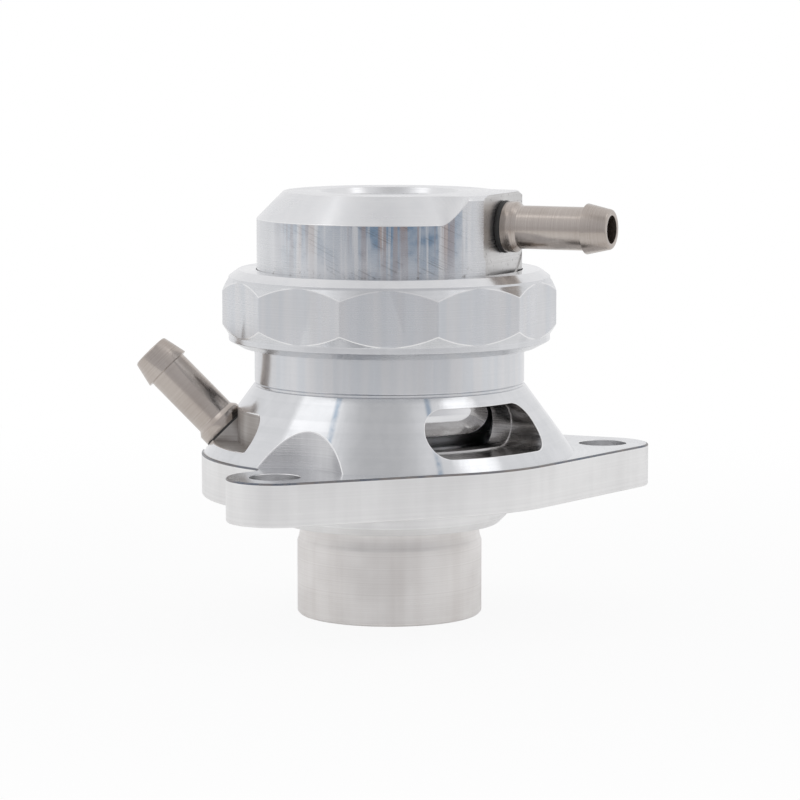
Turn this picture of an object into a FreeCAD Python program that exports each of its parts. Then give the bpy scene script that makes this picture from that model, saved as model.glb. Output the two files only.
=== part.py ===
import FreeCAD, Part
import math
import os

import Sketcher
from FreeCAD import Vector

# Blow off valve for a charge air pipe. The origin is on the valve's axis at the
# open end of the spigot, +Z points up to the cap, and X runs along the two bolt holes.
# Lengths are in millimetres, angles in degrees. Bearings run from +X towards +Y.

SIZES = {
    # hose spigot and the boss between it and the plate
    "spigot_radius": 12.75,
    "spigot_length": 12.8,
    "spigot_edge": 0.3,
    "relief_length": 2.7,
    "relief_depth": 0.3,
    "relief_curve": 5.0,
    "boss_radius": 16.3,
    "boss_height": 3.9,
    "boss_edge": 1.1,
    # mounting plate with its two bolt ears
    "plate_ledge": 0.4,
    "plate_thickness": 5.8,
    "plate_edge": 0.35,
    "bolt_spacing": 57.0,
    "bolt_forward": 12.15,
    "bolt_hole_radius": 3.35,
    "bolt_pocket_radius": 9.1,
    "ear_radius": 6.4,
    "ear_fillet": 2.2,
    # cone, neck and threaded head above the plate
    "cone_foot_radius": 25.5,
    "cone_step": 0.15,
    "cone_height": 9.3,
    "neck_wall": 3.35,
    "neck_height": 6.5,
    "head_step": 1.2,
    "head_height": 5.7,
    # inlet, seat, chamber and piston bore
    "spigot_wall": 1.75,
    "seat_rise": 4.3,
    "chamber_floor_height": 1.5,
    "chamber_wall": 0.7,
    "chamber_height": 6.6,
    "bore_radius": 15.2,
    "bore_edge": 0.4,
    # outlet windows, one at the front and one at the back
    "window_radius": 3.05,
    "window_height": 4.75,
    "window_half_angle": 17.5,
    "window_bearing": -90.0,
    # arc-shaped pocket that makes room for the lower nipple
    "notch_wall": 2.9,
    "notch_floor_height": 1.5,
    "notch_cutter_radius": 2.4,
    "notch_first_bearing": 126.0,
    "notch_last_bearing": 173.5,
    # piston
    "running_gap": 0.08,
    "seat_gap": 0.15,
    "nose_inset": 3.2,
    "barrel_relief": 0.12,
    "barrel_curve": 6.0,
    "barrel_rise": 2.2,
    "waist_depth": 1.22,
    "waist_slope": 0.9,
    "waist_height": 0.8,
    "skirt_slope": 1.4,
    "piston_setback": 0.7,
    "piston_edge": 0.3,
    "piston_floor": 3.8,
    "piston_pocket_gap": 0.45,
    "top_land": 1.3,
    "middle_land": 2.6,
    "seal_groove_width": 2.4,
    "seal_groove_depth": 1.35,
    # rings squeezed between two walls: flat on both, with full sides and slanted corners
    "seal_gap": 0.03,
    "seal_width": 2.1,
    "seal_corner": 0.4,
    "cap_seal_thickness": 1.35,
    # return spring
    "spring_radius": 9.3,
    "wire_radius": 0.85,
    "spring_turns": 7.5,
    # cap that turns under the clamp ring
    "swivel_gap": 0.02,
    "flange_gap": 0.25,
    "flange_thickness": 1.86,
    "flange_step": 1.3,
    "cap_height": 14.32,
    "cap_edge": 0.55,
    "cap_chamfer": 3.68,
    "cavity_gap": 0.3,
    "cavity_depth": 5.78,
    "cap_pocket_gap": 0.55,
    "cap_roof": 2.04,
    "recess_radius": 9.75,
    "recess_depth": 0.9,
    "recess_slope": 0.5,
    "mill_tip_radius": 1.7,
    "chamfer_half_gap": 44.5,
    "cap_flat_depth": 1.25,
    "cap_spot_gap": 0.07,
    "cap_spot_depth": 0.15,
    # clamp ring with eleven flats
    "thread_gap": 0.05,
    "ring_lip_gap": 0.1,
    "ring_lip_thickness": 1.79,
    "ring_height": 10.61,
    "ring_flats": 11,
    "ring_wall": 2.28,
    "ring_flat_step": 0.04,
    "ring_turn": -128.2,
    "ring_top_inset": 1.33,
    "ring_top_slope": 0.97,
    "ring_top_rim": 0.3,
    "ring_corner_reach": 0.92,
    "ring_corner_slope": 1.4,
    "ring_bottom_inset": 1.78,
    "ring_bottom_slope": 0.94,
    "ring_bottom_rim": 0.8,
    # hose nipples
    "shank_radius": 2.4,
    "shank_length": 3.4,
    "shank_bore_radius": 1.2,
    "washer_radius": 3.55,
    "washer_thickness": 0.75,
    "collar_radius": 3.43,
    "collar_height": 1.35,
    "collar_slope": 0.65,
    "tube_radius": 2.92,
    "tube_bore_radius": 1.89,
    "tube_length": 9.45,
    "barb_radius": 3.42,
    "barb_nose_radius": 2.72,
    "barb_length": 3.45,
    "nose_edge": 0.3,
    "port_radius": 1.0,
    "hole_allowance": 0.1,
    # where the nipples screw in
    "upper_bearing": -61.7,
    "upper_lean": 90.0,
    "upper_drop": 4.49,
    "lower_bearing": 135.0,
    "lower_lean": 45.0,
    "lower_seat_inset": 3.1,
    "lower_rise": 2.3,
    "spot_radius": 3.8,
}

DIAGONAL = math.sqrt(2)
HALF_TURN = 180
WIRE_SIDES = 8
CLEAR = 2.0


class Size:
    """A length or an angle: its number now, and the sheet formula that gives it."""

    def __init__(self, number, formula):
        self.number = number
        self.formula = formula

    def __add__(self, other):
        return Size(self.number + number_of(other), f"({self.formula} + {formula_of(other)})")

    def __sub__(self, other):
        return Size(self.number - number_of(other), f"({self.formula} - {formula_of(other)})")

    def __mul__(self, other):
        return Size(self.number * number_of(other), f"({self.formula} * {formula_of(other)})")

    def __truediv__(self, other):
        return Size(self.number / number_of(other), f"({self.formula} / {formula_of(other)})")

    def __neg__(self):
        return Size(-self.number, f"(-{self.formula})")


class Arc:
    """A round stretch of an outline: its radius, and the side of the path its centre is on."""

    def __init__(self, radius, centre_side):
        self.radius = radius
        self.centre_side = centre_side


def number_of(value):
    return value.number if isinstance(value, Size) else value


def formula_of(value):
    return value.formula if isinstance(value, Size) else repr(value)


def root(size):
    return Size(math.sqrt(size.number), f"sqrt({size.formula})")


def cosine(angle):
    return Size(math.cos(math.radians(number_of(angle))), f"cos({formula_of(angle)})")


def sine(angle):
    return Size(math.sin(math.radians(number_of(angle))), f"sin({formula_of(angle)})")


def bind(target, name, size):
    target.setExpression(name, formula_of(size))


def make_sheet(sizes):
    """Write each size into the sheet under its own name, and return them all by name."""
    sheet = doc.addObject("Spreadsheet::Sheet", "Sizes")
    named = {}
    for row, (name, number) in enumerate(sizes.items(), 1):
        sheet.set(f"A{row}", name)
        sheet.set(f"B{row}", str(number))
        sheet.setAlias(f"B{row}", name)
        named[name] = Size(number, f"Sizes.{name}")
    doc.recompute()
    return named


# Sketches and turned bodies

def origin_plane(body, role):
    return next(item for item in body.Origin.OriginFeatures if item.Role == role)


def new_sketch(body, name, role):
    sketch = body.newObject("Sketcher::SketchObject", name)
    sketch.AttachmentSupport = [(origin_plane(body, role), "")]
    sketch.MapMode = "FlatFace"
    return sketch


def hold(sketch, kind, places, size):
    """Add one constraint of that kind, its value bound to the size."""
    row = sketch.addConstraint(Sketcher.Constraint(kind, *places, number_of(size)))
    bind(sketch, f"Constraints[{row}]", size)


def hold_corner(sketch, place, across, up):
    """Fix one end of an edge at its distances from the sketch's origin."""
    if number_of(across) == 0:
        sketch.addConstraint(Sketcher.Constraint("PointOnObject", *place, -2))
    else:
        hold(sketch, "DistanceX", (-1, 1, *place), across)
    if number_of(up) == 0:
        sketch.addConstraint(Sketcher.Constraint("PointOnObject", *place, -1))
    else:
        hold(sketch, "DistanceY", (-1, 1, *place), up)


def arc_edge(start, end, arc):
    """The arc from start to end, and whether it runs backwards to turn counter-clockwise."""
    radius = number_of(arc.radius)
    chord = end - start
    rise = math.sqrt(radius ** 2 - (chord.Length / 2) ** 2)
    leftwards = Vector(-chord.y, chord.x, 0).normalize()
    backwards = arc.centre_side == "right"
    centre = (start + end) / 2 + leftwards * (-rise if backwards else rise)
    first, last = (end, start) if backwards else (start, end)
    angles = [math.atan2(point.y - centre.y, point.x - centre.x) for point in (first, last)]
    circle = Part.Circle(centre, Vector(0, 0, 1), radius)
    return Part.ArcOfCircle(circle, *angles), backwards


def outline(body, name, role, corners):
    """A closed outline through the corners. A third entry makes the edge to a corner an arc."""
    sketch = new_sketch(body, name, role)
    points = [Vector(number_of(corner[0]), number_of(corner[1]), 0) for corner in corners]
    edges = []
    for index, corner in enumerate(corners):
        start, end = points[index - 1], points[index]
        if len(corner) == 3:
            edge, backwards = arc_edge(start, end, corner[2])
            geometry = sketch.addGeometry(edge, False)
            edges.append((geometry, 2, 1) if backwards else (geometry, 1, 2))
        else:
            geometry = sketch.addGeometry(Part.LineSegment(start, end), False)
            edges.append((geometry, 1, 2))
    for index, corner in enumerate(corners):
        geometry, _, last = edges[index]
        following, first, _ = edges[(index + 1) % len(edges)]
        sketch.addConstraint(Sketcher.Constraint("Coincident", geometry, last, following, first))
        hold_corner(sketch, (geometry, last), corner[0], corner[1])
    for (geometry, _, _), corner in zip(edges, corners):
        if len(corner) == 3:
            hold(sketch, "Radius", (geometry,), corner[2].radius)
    return sketch


def turn_about_axis(body, kind, name, corners, angle=360):
    """Turn half a section about the body's upright axis, to add or to take away."""
    sketch = outline(body, name + "_section", "XZ_Plane", corners)
    feature = body.newObject(kind, name)
    feature.Profile = sketch
    feature.ReferenceAxis = (sketch, ["V_Axis"])
    if isinstance(angle, Size):
        bind(feature, "Angle", angle)
    else:
        feature.Angle = angle
    return feature


def turned_body(name, corners, angle=360):
    body = doc.addObject("PartDesign::Body", name)
    turn_about_axis(body, "PartDesign::Revolution", name + "_turning", corners, angle)
    return body


# Primitives, places and booleans

def place(piece, bearing=0, radius=0, height=0, lean=0, aside=0):
    """Put a piece at a radius on a bearing, its own axis leaning outwards from upright."""
    turn, out, up = formula_of(bearing), formula_of(radius), formula_of(height)
    side, tilt = formula_of(aside), formula_of(lean)
    position = (f"vector({out} * cos({turn}) - {side} * sin({turn}); "
                f"{out} * sin({turn}) + {side} * cos({turn}); {up})")
    rotation = f"rotation(vector(0; 0; 1); {turn}) * rotation(vector(0; 1; 0); {tilt})"
    piece.setExpression("Placement", f"placement({position}; {rotation})")
    return piece


def cylinder(name, radius, height, angle=None):
    piece = doc.addObject("Part::Cylinder", name)
    bind(piece, "Radius", radius)
    bind(piece, "Height", height)
    if angle is not None:
        bind(piece, "Angle", angle)
    return piece


def cone(name, bottom_radius, top_radius, height):
    piece = doc.addObject("Part::Cone", name)
    bind(piece, "Radius1", bottom_radius)
    bind(piece, "Radius2", top_radius)
    bind(piece, "Height", height)
    return piece


def box(name, length, width, height):
    piece = doc.addObject("Part::Box", name)
    bind(piece, "Length", length)
    bind(piece, "Width", width)
    bind(piece, "Height", height)
    return piece


def fused(name, pieces):
    result = doc.addObject("Part::MultiFuse", name)
    result.Shapes = pieces
    return result


def cut(name, base, tool):
    result = doc.addObject("Part::Cut", name)
    result.Base = base
    result.Tool = tool
    return result


def common(name, base, tool):
    result = doc.addObject("Part::Common", name)
    result.Base = base
    result.Tool = tool
    return result


# Heights and radii worked out from the sheet

def add_heights(size):
    """Heights above the spigot's open end."""
    size["plate_bottom"] = size["spigot_length"] + size["boss_height"]
    size["plate_top"] = size["plate_bottom"] + size["plate_thickness"]
    size["cone_top"] = size["plate_top"] + size["cone_height"]
    size["neck_top"] = size["cone_top"] + size["neck_height"]
    size["head_top"] = size["neck_top"] + size["head_height"]
    size["chamber_floor"] = size["plate_top"] + size["chamber_floor_height"]
    size["seat_foot"] = size["chamber_floor"] - size["seat_rise"]
    size["piston_bottom"] = (size["seat_foot"] + size["nose_radius"] - size["inlet_radius"]
                             + size["seat_gap"] * DIAGONAL)
    size["piston_pocket_floor"] = size["piston_bottom"] + size["piston_floor"]
    size["piston_top"] = size["head_top"] - size["piston_setback"]
    size["cap_bottom"] = size["head_top"] + size["swivel_gap"]
    size["flange_top"] = size["cap_bottom"] + size["flange_thickness"]
    size["cap_top"] = size["cap_bottom"] + size["cap_height"]
    size["recess_floor"] = size["cap_top"] - size["recess_depth"]
    size["cap_pocket_roof"] = size["recess_floor"] - size["cap_roof"]
    size["upper_seat_height"] = size["cap_top"] - size["upper_drop"]
    size["lower_seat_height"] = size["plate_top"] + size["lower_rise"]


def add_radii(size):
    """Radii that follow from a wall, a step or a gap beside another radius."""
    size["inlet_radius"] = size["spigot_radius"] - size["spigot_wall"]
    size["plate_radius"] = size["cone_foot_radius"] + size["plate_ledge"]
    size["neck_radius"] = size["bore_radius"] + size["neck_wall"]
    size["cone_top_radius"] = size["neck_radius"] + size["cone_step"]
    size["chamber_radius"] = size["cone_top_radius"] - size["chamber_wall"]
    size["notch_wall_radius"] = size["chamber_radius"] + size["notch_wall"]
    size["head_radius"] = size["neck_radius"] + size["head_step"]
    size["thread_radius"] = size["head_radius"] + size["thread_gap"]
    size["bore_mouth_radius"] = size["bore_radius"] + size["bore_edge"]
    size["cap_seal_radius"] = (size["bore_mouth_radius"] + size["head_radius"]) / 2
    size["piston_radius"] = size["bore_radius"] - size["running_gap"]
    size["barrel_radius"] = size["piston_radius"] - size["barrel_relief"]
    size["nose_radius"] = size["barrel_radius"] - size["nose_inset"]
    size["waist_radius"] = size["piston_radius"] - size["waist_depth"]
    size["piston_groove_radius"] = size["piston_radius"] - size["seal_groove_depth"]
    size["spring_outer_radius"] = size["spring_radius"] + size["wire_radius"]
    size["piston_pocket_radius"] = size["spring_outer_radius"] + size["piston_pocket_gap"]
    size["cap_pocket_radius"] = size["spring_outer_radius"] + size["cap_pocket_gap"]
    size["flange_radius"] = size["head_radius"] - size["flange_gap"]
    size["cap_radius"] = size["flange_radius"] - size["flange_step"]
    size["cap_flat_distance"] = size["cap_radius"] - size["cap_flat_depth"]
    size["ring_rim_radius"] = size["thread_radius"] + size["ring_wall"]
    size["ring_corner_radius"] = size["ring_rim_radius"] + size["ring_corner_reach"]
    size["thread_hole_radius"] = size["shank_radius"] + size["thread_gap"]
    size["upper_seat_radius"] = size["cap_flat_distance"] - size["cap_spot_depth"]
    size["lower_seat_radius"] = size["cone_foot_radius"] - size["lower_seat_inset"]


def nipple_seats(size):
    """Where each nipple's washer sits: bearing, radius, height and the lean from upright."""
    return {
        "upper": (size["upper_bearing"], size["upper_seat_radius"], size["upper_seat_height"],
                  size["upper_lean"]),
        "lower": (size["lower_bearing"], size["lower_seat_radius"], size["lower_seat_height"],
                  size["lower_lean"]),
    }


# Valve body

def plate_outline(body, size):
    """The plate's disc with two round ears, joined by tangents and by one fillet."""
    sketch = new_sketch(body, "plate_outline", "XY_Plane")
    bind(sketch, "AttachmentOffset.Base.z", size["plate_bottom"])
    disc, ear, fillet = size["plate_radius"], size["ear_radius"], size["ear_fillet"]
    across, forward = size["bolt_spacing"] / 2, size["bolt_forward"]
    up = Vector(0, 0, 1)
    middle = Vector(0, 0, 0)
    right = Vector(across.number, -forward.number, 0)
    left = Vector(-across.number, -forward.number, 0)
    reach = right.Length
    right_bearing = math.atan2(right.y, right.x)
    left_bearing = math.atan2(left.y, left.x)
    opening = math.acos((disc.number - ear.number) / reach)

    to_ear = ear.number + fillet.number
    to_disc = disc.number + fillet.number
    corner = math.acos((reach ** 2 + to_ear ** 2 - to_disc ** 2) / (2 * reach * to_ear))
    fillet_direction = left_bearing + math.pi + corner
    hollow = left + Vector(math.cos(fillet_direction), math.sin(fillet_direction), 0) * to_ear
    hollow_bearing = math.atan2(hollow.y, hollow.x)

    def around(centre, radius, angle):
        return centre + Vector(math.cos(angle), math.sin(angle), 0) * radius.number

    def arc(centre, radius, first, last):
        circle = Part.Circle(centre, up, radius.number)
        return sketch.addGeometry(Part.ArcOfCircle(circle, first, last), False)

    def line(start, end):
        return sketch.addGeometry(Part.LineSegment(start, end), False)

    right_front, right_back = right_bearing - opening, right_bearing + opening
    left_front = left_bearing + opening
    front_right = line(around(middle, disc, right_front), around(right, ear, right_front))
    right_ear = arc(right, ear, right_front, right_back)
    back_right = line(around(right, ear, right_back), around(middle, disc, right_back))
    back = arc(middle, disc, right_back, hollow_bearing)
    hollow_arc = arc(hollow, fillet, fillet_direction + math.pi, hollow_bearing + math.pi)
    left_ear = arc(left, ear, fillet_direction, left_front)
    front_left = line(around(left, ear, left_front), around(middle, disc, left_front))
    front = arc(middle, disc, left_front, right_front)

    joints = [(front_right, 2, right_ear, 1), (right_ear, 2, back_right, 1), (back_right, 2, back, 1),
              (back, 2, hollow_arc, 2), (hollow_arc, 1, left_ear, 1), (left_ear, 2, front_left, 1),
              (front_left, 2, front, 1), (front, 2, front_right, 1)]
    for joint in joints:
        sketch.addConstraint(Sketcher.Constraint("Tangent", *joint))
    for disc_arc in (back, front):
        sketch.addConstraint(Sketcher.Constraint("Coincident", disc_arc, 3, -1, 1))
        hold(sketch, "Radius", (disc_arc,), disc)
    for ear_arc, side in ((right_ear, across), (left_ear, -across)):
        hold(sketch, "DistanceX", (-1, 1, ear_arc, 3), side)
        hold(sketch, "DistanceY", (-1, 1, ear_arc, 3), -forward)
        hold(sketch, "Radius", (ear_arc,), ear)
    hold(sketch, "Radius", (hollow_arc,), fillet)
    return sketch


def level_faces(shape):
    """The names of the flat faces that look straight up or down."""
    names = []
    for index, face in enumerate(shape.Faces, 1):
        if isinstance(face.Surface, Part.Plane) and abs(face.Surface.Axis.z) > 0.999:
            names.append(f"Face{index}")
    return names


def body_blank(size):
    """Plate, turned outside and turned inside of the valve body, before its side cuts."""
    body = doc.addObject("PartDesign::Body", "valve_blank")
    plate = body.newObject("PartDesign::Pad", "plate")
    plate.Profile = plate_outline(body, size)
    bind(plate, "Length", size["plate_thickness"])
    doc.recompute()
    edge = body.newObject("PartDesign::Chamfer", "plate_edge_break")
    edge.Base = (plate, level_faces(plate.Shape))
    bind(edge, "Size", size["plate_edge"])
    doc.recompute()

    spigot, boss = size["spigot_radius"], size["boss_radius"]
    relief_foot = size["spigot_length"] - size["relief_length"]
    turn_about_axis(body, "PartDesign::Revolution", "outside", [
        (0, 0),
        (spigot - size["spigot_edge"], 0),
        (spigot, size["spigot_edge"]),
        (spigot, relief_foot),
        (spigot - size["relief_depth"], size["spigot_length"], Arc(size["relief_curve"], "right")),
        (boss - size["boss_edge"], size["spigot_length"]),
        (boss, size["spigot_length"] + size["boss_edge"]),
        (boss, size["plate_top"]),
        (size["cone_foot_radius"], size["plate_top"]),
        (size["cone_top_radius"], size["cone_top"]),
        (size["neck_radius"], size["cone_top"]),
        (size["neck_radius"], size["neck_top"]),
        (size["head_radius"], size["neck_top"]),
        (size["head_radius"], size["head_top"]),
        (0, size["head_top"]),
    ])

    inlet, bore = size["inlet_radius"], size["bore_radius"]
    chamber_roof = size["chamber_floor"] + size["chamber_height"]
    turn_about_axis(body, "PartDesign::Groove", "inside", [
        (0, 0),
        (inlet + size["spigot_edge"], 0),
        (inlet, size["spigot_edge"]),
        (inlet, size["seat_foot"]),
        (inlet + size["seat_rise"], size["chamber_floor"]),
        (size["chamber_radius"], size["chamber_floor"]),
        (size["chamber_radius"], chamber_roof),
        (bore, chamber_roof + size["chamber_radius"] - bore),
        (bore, size["head_top"] - size["bore_edge"]),
        (size["bore_mouth_radius"], size["head_top"]),
        (0, size["head_top"]),
    ])

    groove_side = size["seal_groove_width"] / 2
    groove_floor = size["head_top"] - size["cap_seal_thickness"]
    turn_about_axis(body, "PartDesign::Groove", "cap_seal_groove", [
        (size["cap_seal_radius"] - groove_side, groove_floor),
        (size["cap_seal_radius"] + groove_side, groove_floor),
        (size["cap_seal_radius"] + groove_side, size["head_top"]),
        (size["cap_seal_radius"] - groove_side, size["head_top"]),
    ])
    return body


def window_cutter(name, bearing, size):
    """A round-ended slot cutter that swings about the axis between its two end positions."""
    radius, half = size["window_radius"], size["window_half_angle"]
    middle = size["plate_top"] + size["window_height"]
    reach = size["cone_foot_radius"] + CLEAR
    sweep = cylinder(name + "_sweep", reach, radius * 2, half * 2)
    place(sweep, bearing - half, height=middle - radius)
    ends = []
    for label, end_bearing in (("first", bearing - half), ("last", bearing + half)):
        end = cylinder(f"{name}_{label}_end", radius, reach)
        ends.append(place(end, end_bearing, height=middle, lean=90))
    return fused(name, [sweep] + ends)


def notch_cutter(size, seat):
    """A vertical end mill swung about the axis. It leaves a round wall behind the lower nipple,
    and the round pad that the nipple's washer sits on."""
    wall, tool = size["notch_wall_radius"], size["notch_cutter_radius"]
    floor = size["plate_top"] + size["notch_floor_height"]
    height = size["cone_top"] - floor
    first, last = size["notch_first_bearing"], size["notch_last_bearing"]
    sweep = cylinder("notch_sweep", wall + tool * 2, height, last - first)
    place(sweep, first, height=floor)
    core = place(cylinder("notch_core", wall, height), height=floor)
    ends = []
    for label, bearing in (("first", first), ("last", last)):
        end = cylinder(f"notch_{label}_end", tool, height)
        ends.append(place(end, bearing, wall + tool, floor))
    swept = fused("notch_swept", [cut("notch_band", sweep, core)] + ends)
    bearing, radius, seat_height, lean = seat
    pad = cylinder("lower_pad", size["spot_radius"], height)
    place(pad, bearing, radius, seat_height, lean + HALF_TURN)
    return cut("notch", swept, pad)


def nipple_cutters(name, size, seat, port_length):
    """The threaded hole for a nipple's shank and the narrow port that leads on from it."""
    bearing, radius, height, lean = seat
    hole = cylinder(name + "_thread_hole", size["thread_hole_radius"], size["shank_length"] + size["hole_allowance"])
    port = cylinder(name + "_port", size["port_radius"], port_length)
    return [place(tool, bearing, radius, height, lean + HALF_TURN) for tool in (hole, port)]


def valve_body(size):
    across, forward = size["bolt_spacing"] / 2, size["bolt_forward"]
    seat = nipple_seats(size)["lower"]
    tools = [
        window_cutter("front_window", size["window_bearing"], size),
        window_cutter("back_window", size["window_bearing"] + HALF_TURN, size),
        notch_cutter(size, seat),
    ]
    for label, side in (("right", across), ("left", -across)):
        hole = cylinder(label + "_bolt_hole", size["bolt_hole_radius"], size["plate_thickness"])
        tools.append(place(hole, radius=side, height=size["plate_bottom"], aside=-forward))
        pocket = cylinder(label + "_bolt_pocket", size["bolt_pocket_radius"], size["cone_height"])
        tools.append(place(pocket, radius=side, height=size["plate_top"], aside=-forward))
    tools.append(place(cylinder("lower_spot_face", size["spot_radius"], size["cone_height"]), *seat))
    to_inlet = (size["lower_seat_radius"] - size["inlet_radius"]) / sine(size["lower_lean"])
    tools += nipple_cutters("lower", size, seat, to_inlet + size["port_radius"] * 2)
    return cut("valve_body", body_blank(size), fused("body_cutters", tools))


# Piston, seals and spring

def piston(size):
    barrel, curve = size["barrel_radius"], size["barrel_curve"]
    centre_radius = barrel - curve
    centre_height = centre_radius - size["nose_radius"] + size["piston_bottom"] + curve * DIAGONAL
    touch = curve / DIAGONAL
    rise = size["barrel_rise"]
    barrel_top_radius = centre_radius + root(curve * curve - rise * rise)
    barrel_top = centre_height + rise
    waist_bottom = barrel_top + size["waist_slope"]
    waist_top = waist_bottom + size["waist_height"]
    waist = size["waist_radius"]
    skirt, edge, top = size["piston_radius"], size["piston_edge"], size["piston_top"]
    groove_radius = size["piston_groove_radius"]
    upper_groove_top = top - size["top_land"]
    upper_groove_bottom = upper_groove_top - size["seal_groove_width"]
    lower_groove_top = upper_groove_bottom - size["middle_land"]
    lower_groove_bottom = lower_groove_top - size["seal_groove_width"]
    pocket = size["piston_pocket_radius"]
    return turned_body("piston", [
        (0, size["piston_bottom"]),
        (size["nose_radius"], size["piston_bottom"]),
        (centre_radius + touch, centre_height - touch),
        (barrel_top_radius, barrel_top, Arc(curve, "left")),
        (waist, waist_bottom),
        (waist, waist_top),
        (skirt, waist_top + size["skirt_slope"]),
        (skirt, lower_groove_bottom),
        (groove_radius, lower_groove_bottom),
        (groove_radius, lower_groove_top),
        (skirt, lower_groove_top),
        (skirt, upper_groove_bottom),
        (groove_radius, upper_groove_bottom),
        (groove_radius, upper_groove_top),
        (skirt, upper_groove_top),
        (skirt, top - edge),
        (skirt - edge, top),
        (pocket + edge, top),
        (pocket, top - edge),
        (pocket, size["piston_pocket_floor"]),
        (0, size["piston_pocket_floor"]),
    ])


def eight_corners(inner, outer, bottom, top, corner):
    """The section of a squeezed ring: a block with each corner slanted."""
    return [
        (inner + corner, bottom),
        (outer - corner, bottom),
        (outer, bottom + corner),
        (outer, top - corner),
        (outer - corner, top),
        (inner + corner, top),
        (inner, top - corner),
        (inner, bottom + corner),
    ]


def piston_seal(name, drop, size):
    """A ring squeezed between the groove's floor and the bore, centred in its groove."""
    middle = size["piston_top"] - drop - size["seal_groove_width"] / 2
    inner = size["piston_groove_radius"]
    outer = size["bore_radius"] - size["seal_gap"]
    bottom = middle - size["seal_width"] / 2
    top = middle + size["seal_width"] / 2
    return turned_body(name, eight_corners(inner, outer, bottom, top, size["seal_corner"]))


def cap_seal(size):
    """A ring squeezed down between its groove in the head and the cap's flange."""
    bottom = size["head_top"] - size["cap_seal_thickness"]
    inner = size["cap_seal_radius"] - size["seal_width"] / 2
    outer = size["cap_seal_radius"] + size["seal_width"] / 2
    section = eight_corners(inner, outer, bottom, size["head_top"], size["seal_corner"])
    return turned_body("cap_seal", section)


def return_spring(size):
    """A coil with both ends ground flat, its round wire drawn with eight sides to stay light."""
    floor, roof = size["piston_pocket_floor"], size["cap_pocket_roof"]
    wire, corners = size["wire_radius"], []
    for side in range(WIRE_SIDES):
        angle = (side + 0.5) * 360 / WIRE_SIDES
        corners.append((size["spring_radius"] + wire * math.cos(math.radians(angle)),
                        floor + wire * math.sin(math.radians(angle))))
    body = doc.addObject("PartDesign::Body", "spring_coil")
    sketch = outline(body, "wire_section", "XZ_Plane", corners)
    coil = body.newObject("PartDesign::AdditiveHelix", "coil")
    coil.Profile = sketch
    coil.ReferenceAxis = (sketch, ["V_Axis"])
    coil.Mode = "height-turns-angle"
    bind(coil, "Height", roof - floor)
    bind(coil, "Turns", size["spring_turns"])
    outer = size["spring_outer_radius"] + size["wire_radius"]
    ground = place(cylinder("ground_ends", outer, roof - floor), height=floor)
    return common("return_spring", body, ground)


# Cap and clamp ring

def chamfer_cutter(size):
    """A chamfer mill that runs round the cap's top edge and lifts out short of the nipple."""
    chamfer, tip = size["cap_chamfer"], size["mill_tip_radius"]
    bottom = size["cap_top"] - chamfer
    path = size["cap_radius"] + tip
    gap = size["chamfer_half_gap"]
    sweep = turned_body("chamfer_sweep", [
        (size["cap_radius"], bottom),
        (path, bottom),
        (path, size["cap_top"]),
        (size["cap_radius"] - chamfer, size["cap_top"]),
    ], gap * -2 + 360)
    place(sweep, size["upper_bearing"] + gap)
    ends = []
    for label, bearing in (("first", size["upper_bearing"] + gap), ("last", size["upper_bearing"] - gap)):
        end = cone(f"chamfer_{label}_end", tip, tip + chamfer, chamfer)
        ends.append(place(end, bearing, path, bottom))
    return fused("chamfer_cut", [sweep] + ends)


def top_cap(size):
    outer, edge = size["cap_radius"], size["cap_edge"]
    cavity = size["bore_radius"] + size["cavity_gap"]
    cavity_roof = size["cap_bottom"] + size["cavity_depth"]
    blank = turned_body("cap_blank", [
        (cavity, size["cap_bottom"]),
        (size["flange_radius"], size["cap_bottom"]),
        (size["flange_radius"], size["flange_top"]),
        (outer, size["flange_top"]),
        (outer, size["cap_top"] - edge),
        (outer - edge, size["cap_top"]),
        (size["recess_radius"], size["cap_top"]),
        (size["recess_radius"] - size["recess_slope"], size["recess_floor"]),
        (0, size["recess_floor"]),
        (0, size["cap_pocket_roof"]),
        (size["cap_pocket_radius"], size["cap_pocket_roof"]),
        (size["cap_pocket_radius"], cavity_roof),
        (cavity, cavity_roof),
    ])
    side_height = size["cap_top"] - size["flange_top"]
    flat = box("cap_flat_cut", size["cap_radius"], outer * 2, side_height)
    place(flat, size["upper_bearing"], size["cap_flat_distance"], size["flange_top"], aside=-outer)
    seat = nipple_seats(size)["upper"]
    spot_radius = size["upper_seat_height"] - size["flange_top"] - size["cap_spot_gap"]
    spot = place(cylinder("upper_spot_face", spot_radius, size["cap_radius"]), *seat)
    port_length = size["upper_seat_radius"] - size["cap_pocket_radius"] + size["port_radius"] * 2
    tools = [chamfer_cutter(size), flat, spot]
    tools += nipple_cutters("upper", size, seat, port_length)
    return cut("top_cap", blank, fused("cap_cutters", tools))


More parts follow.
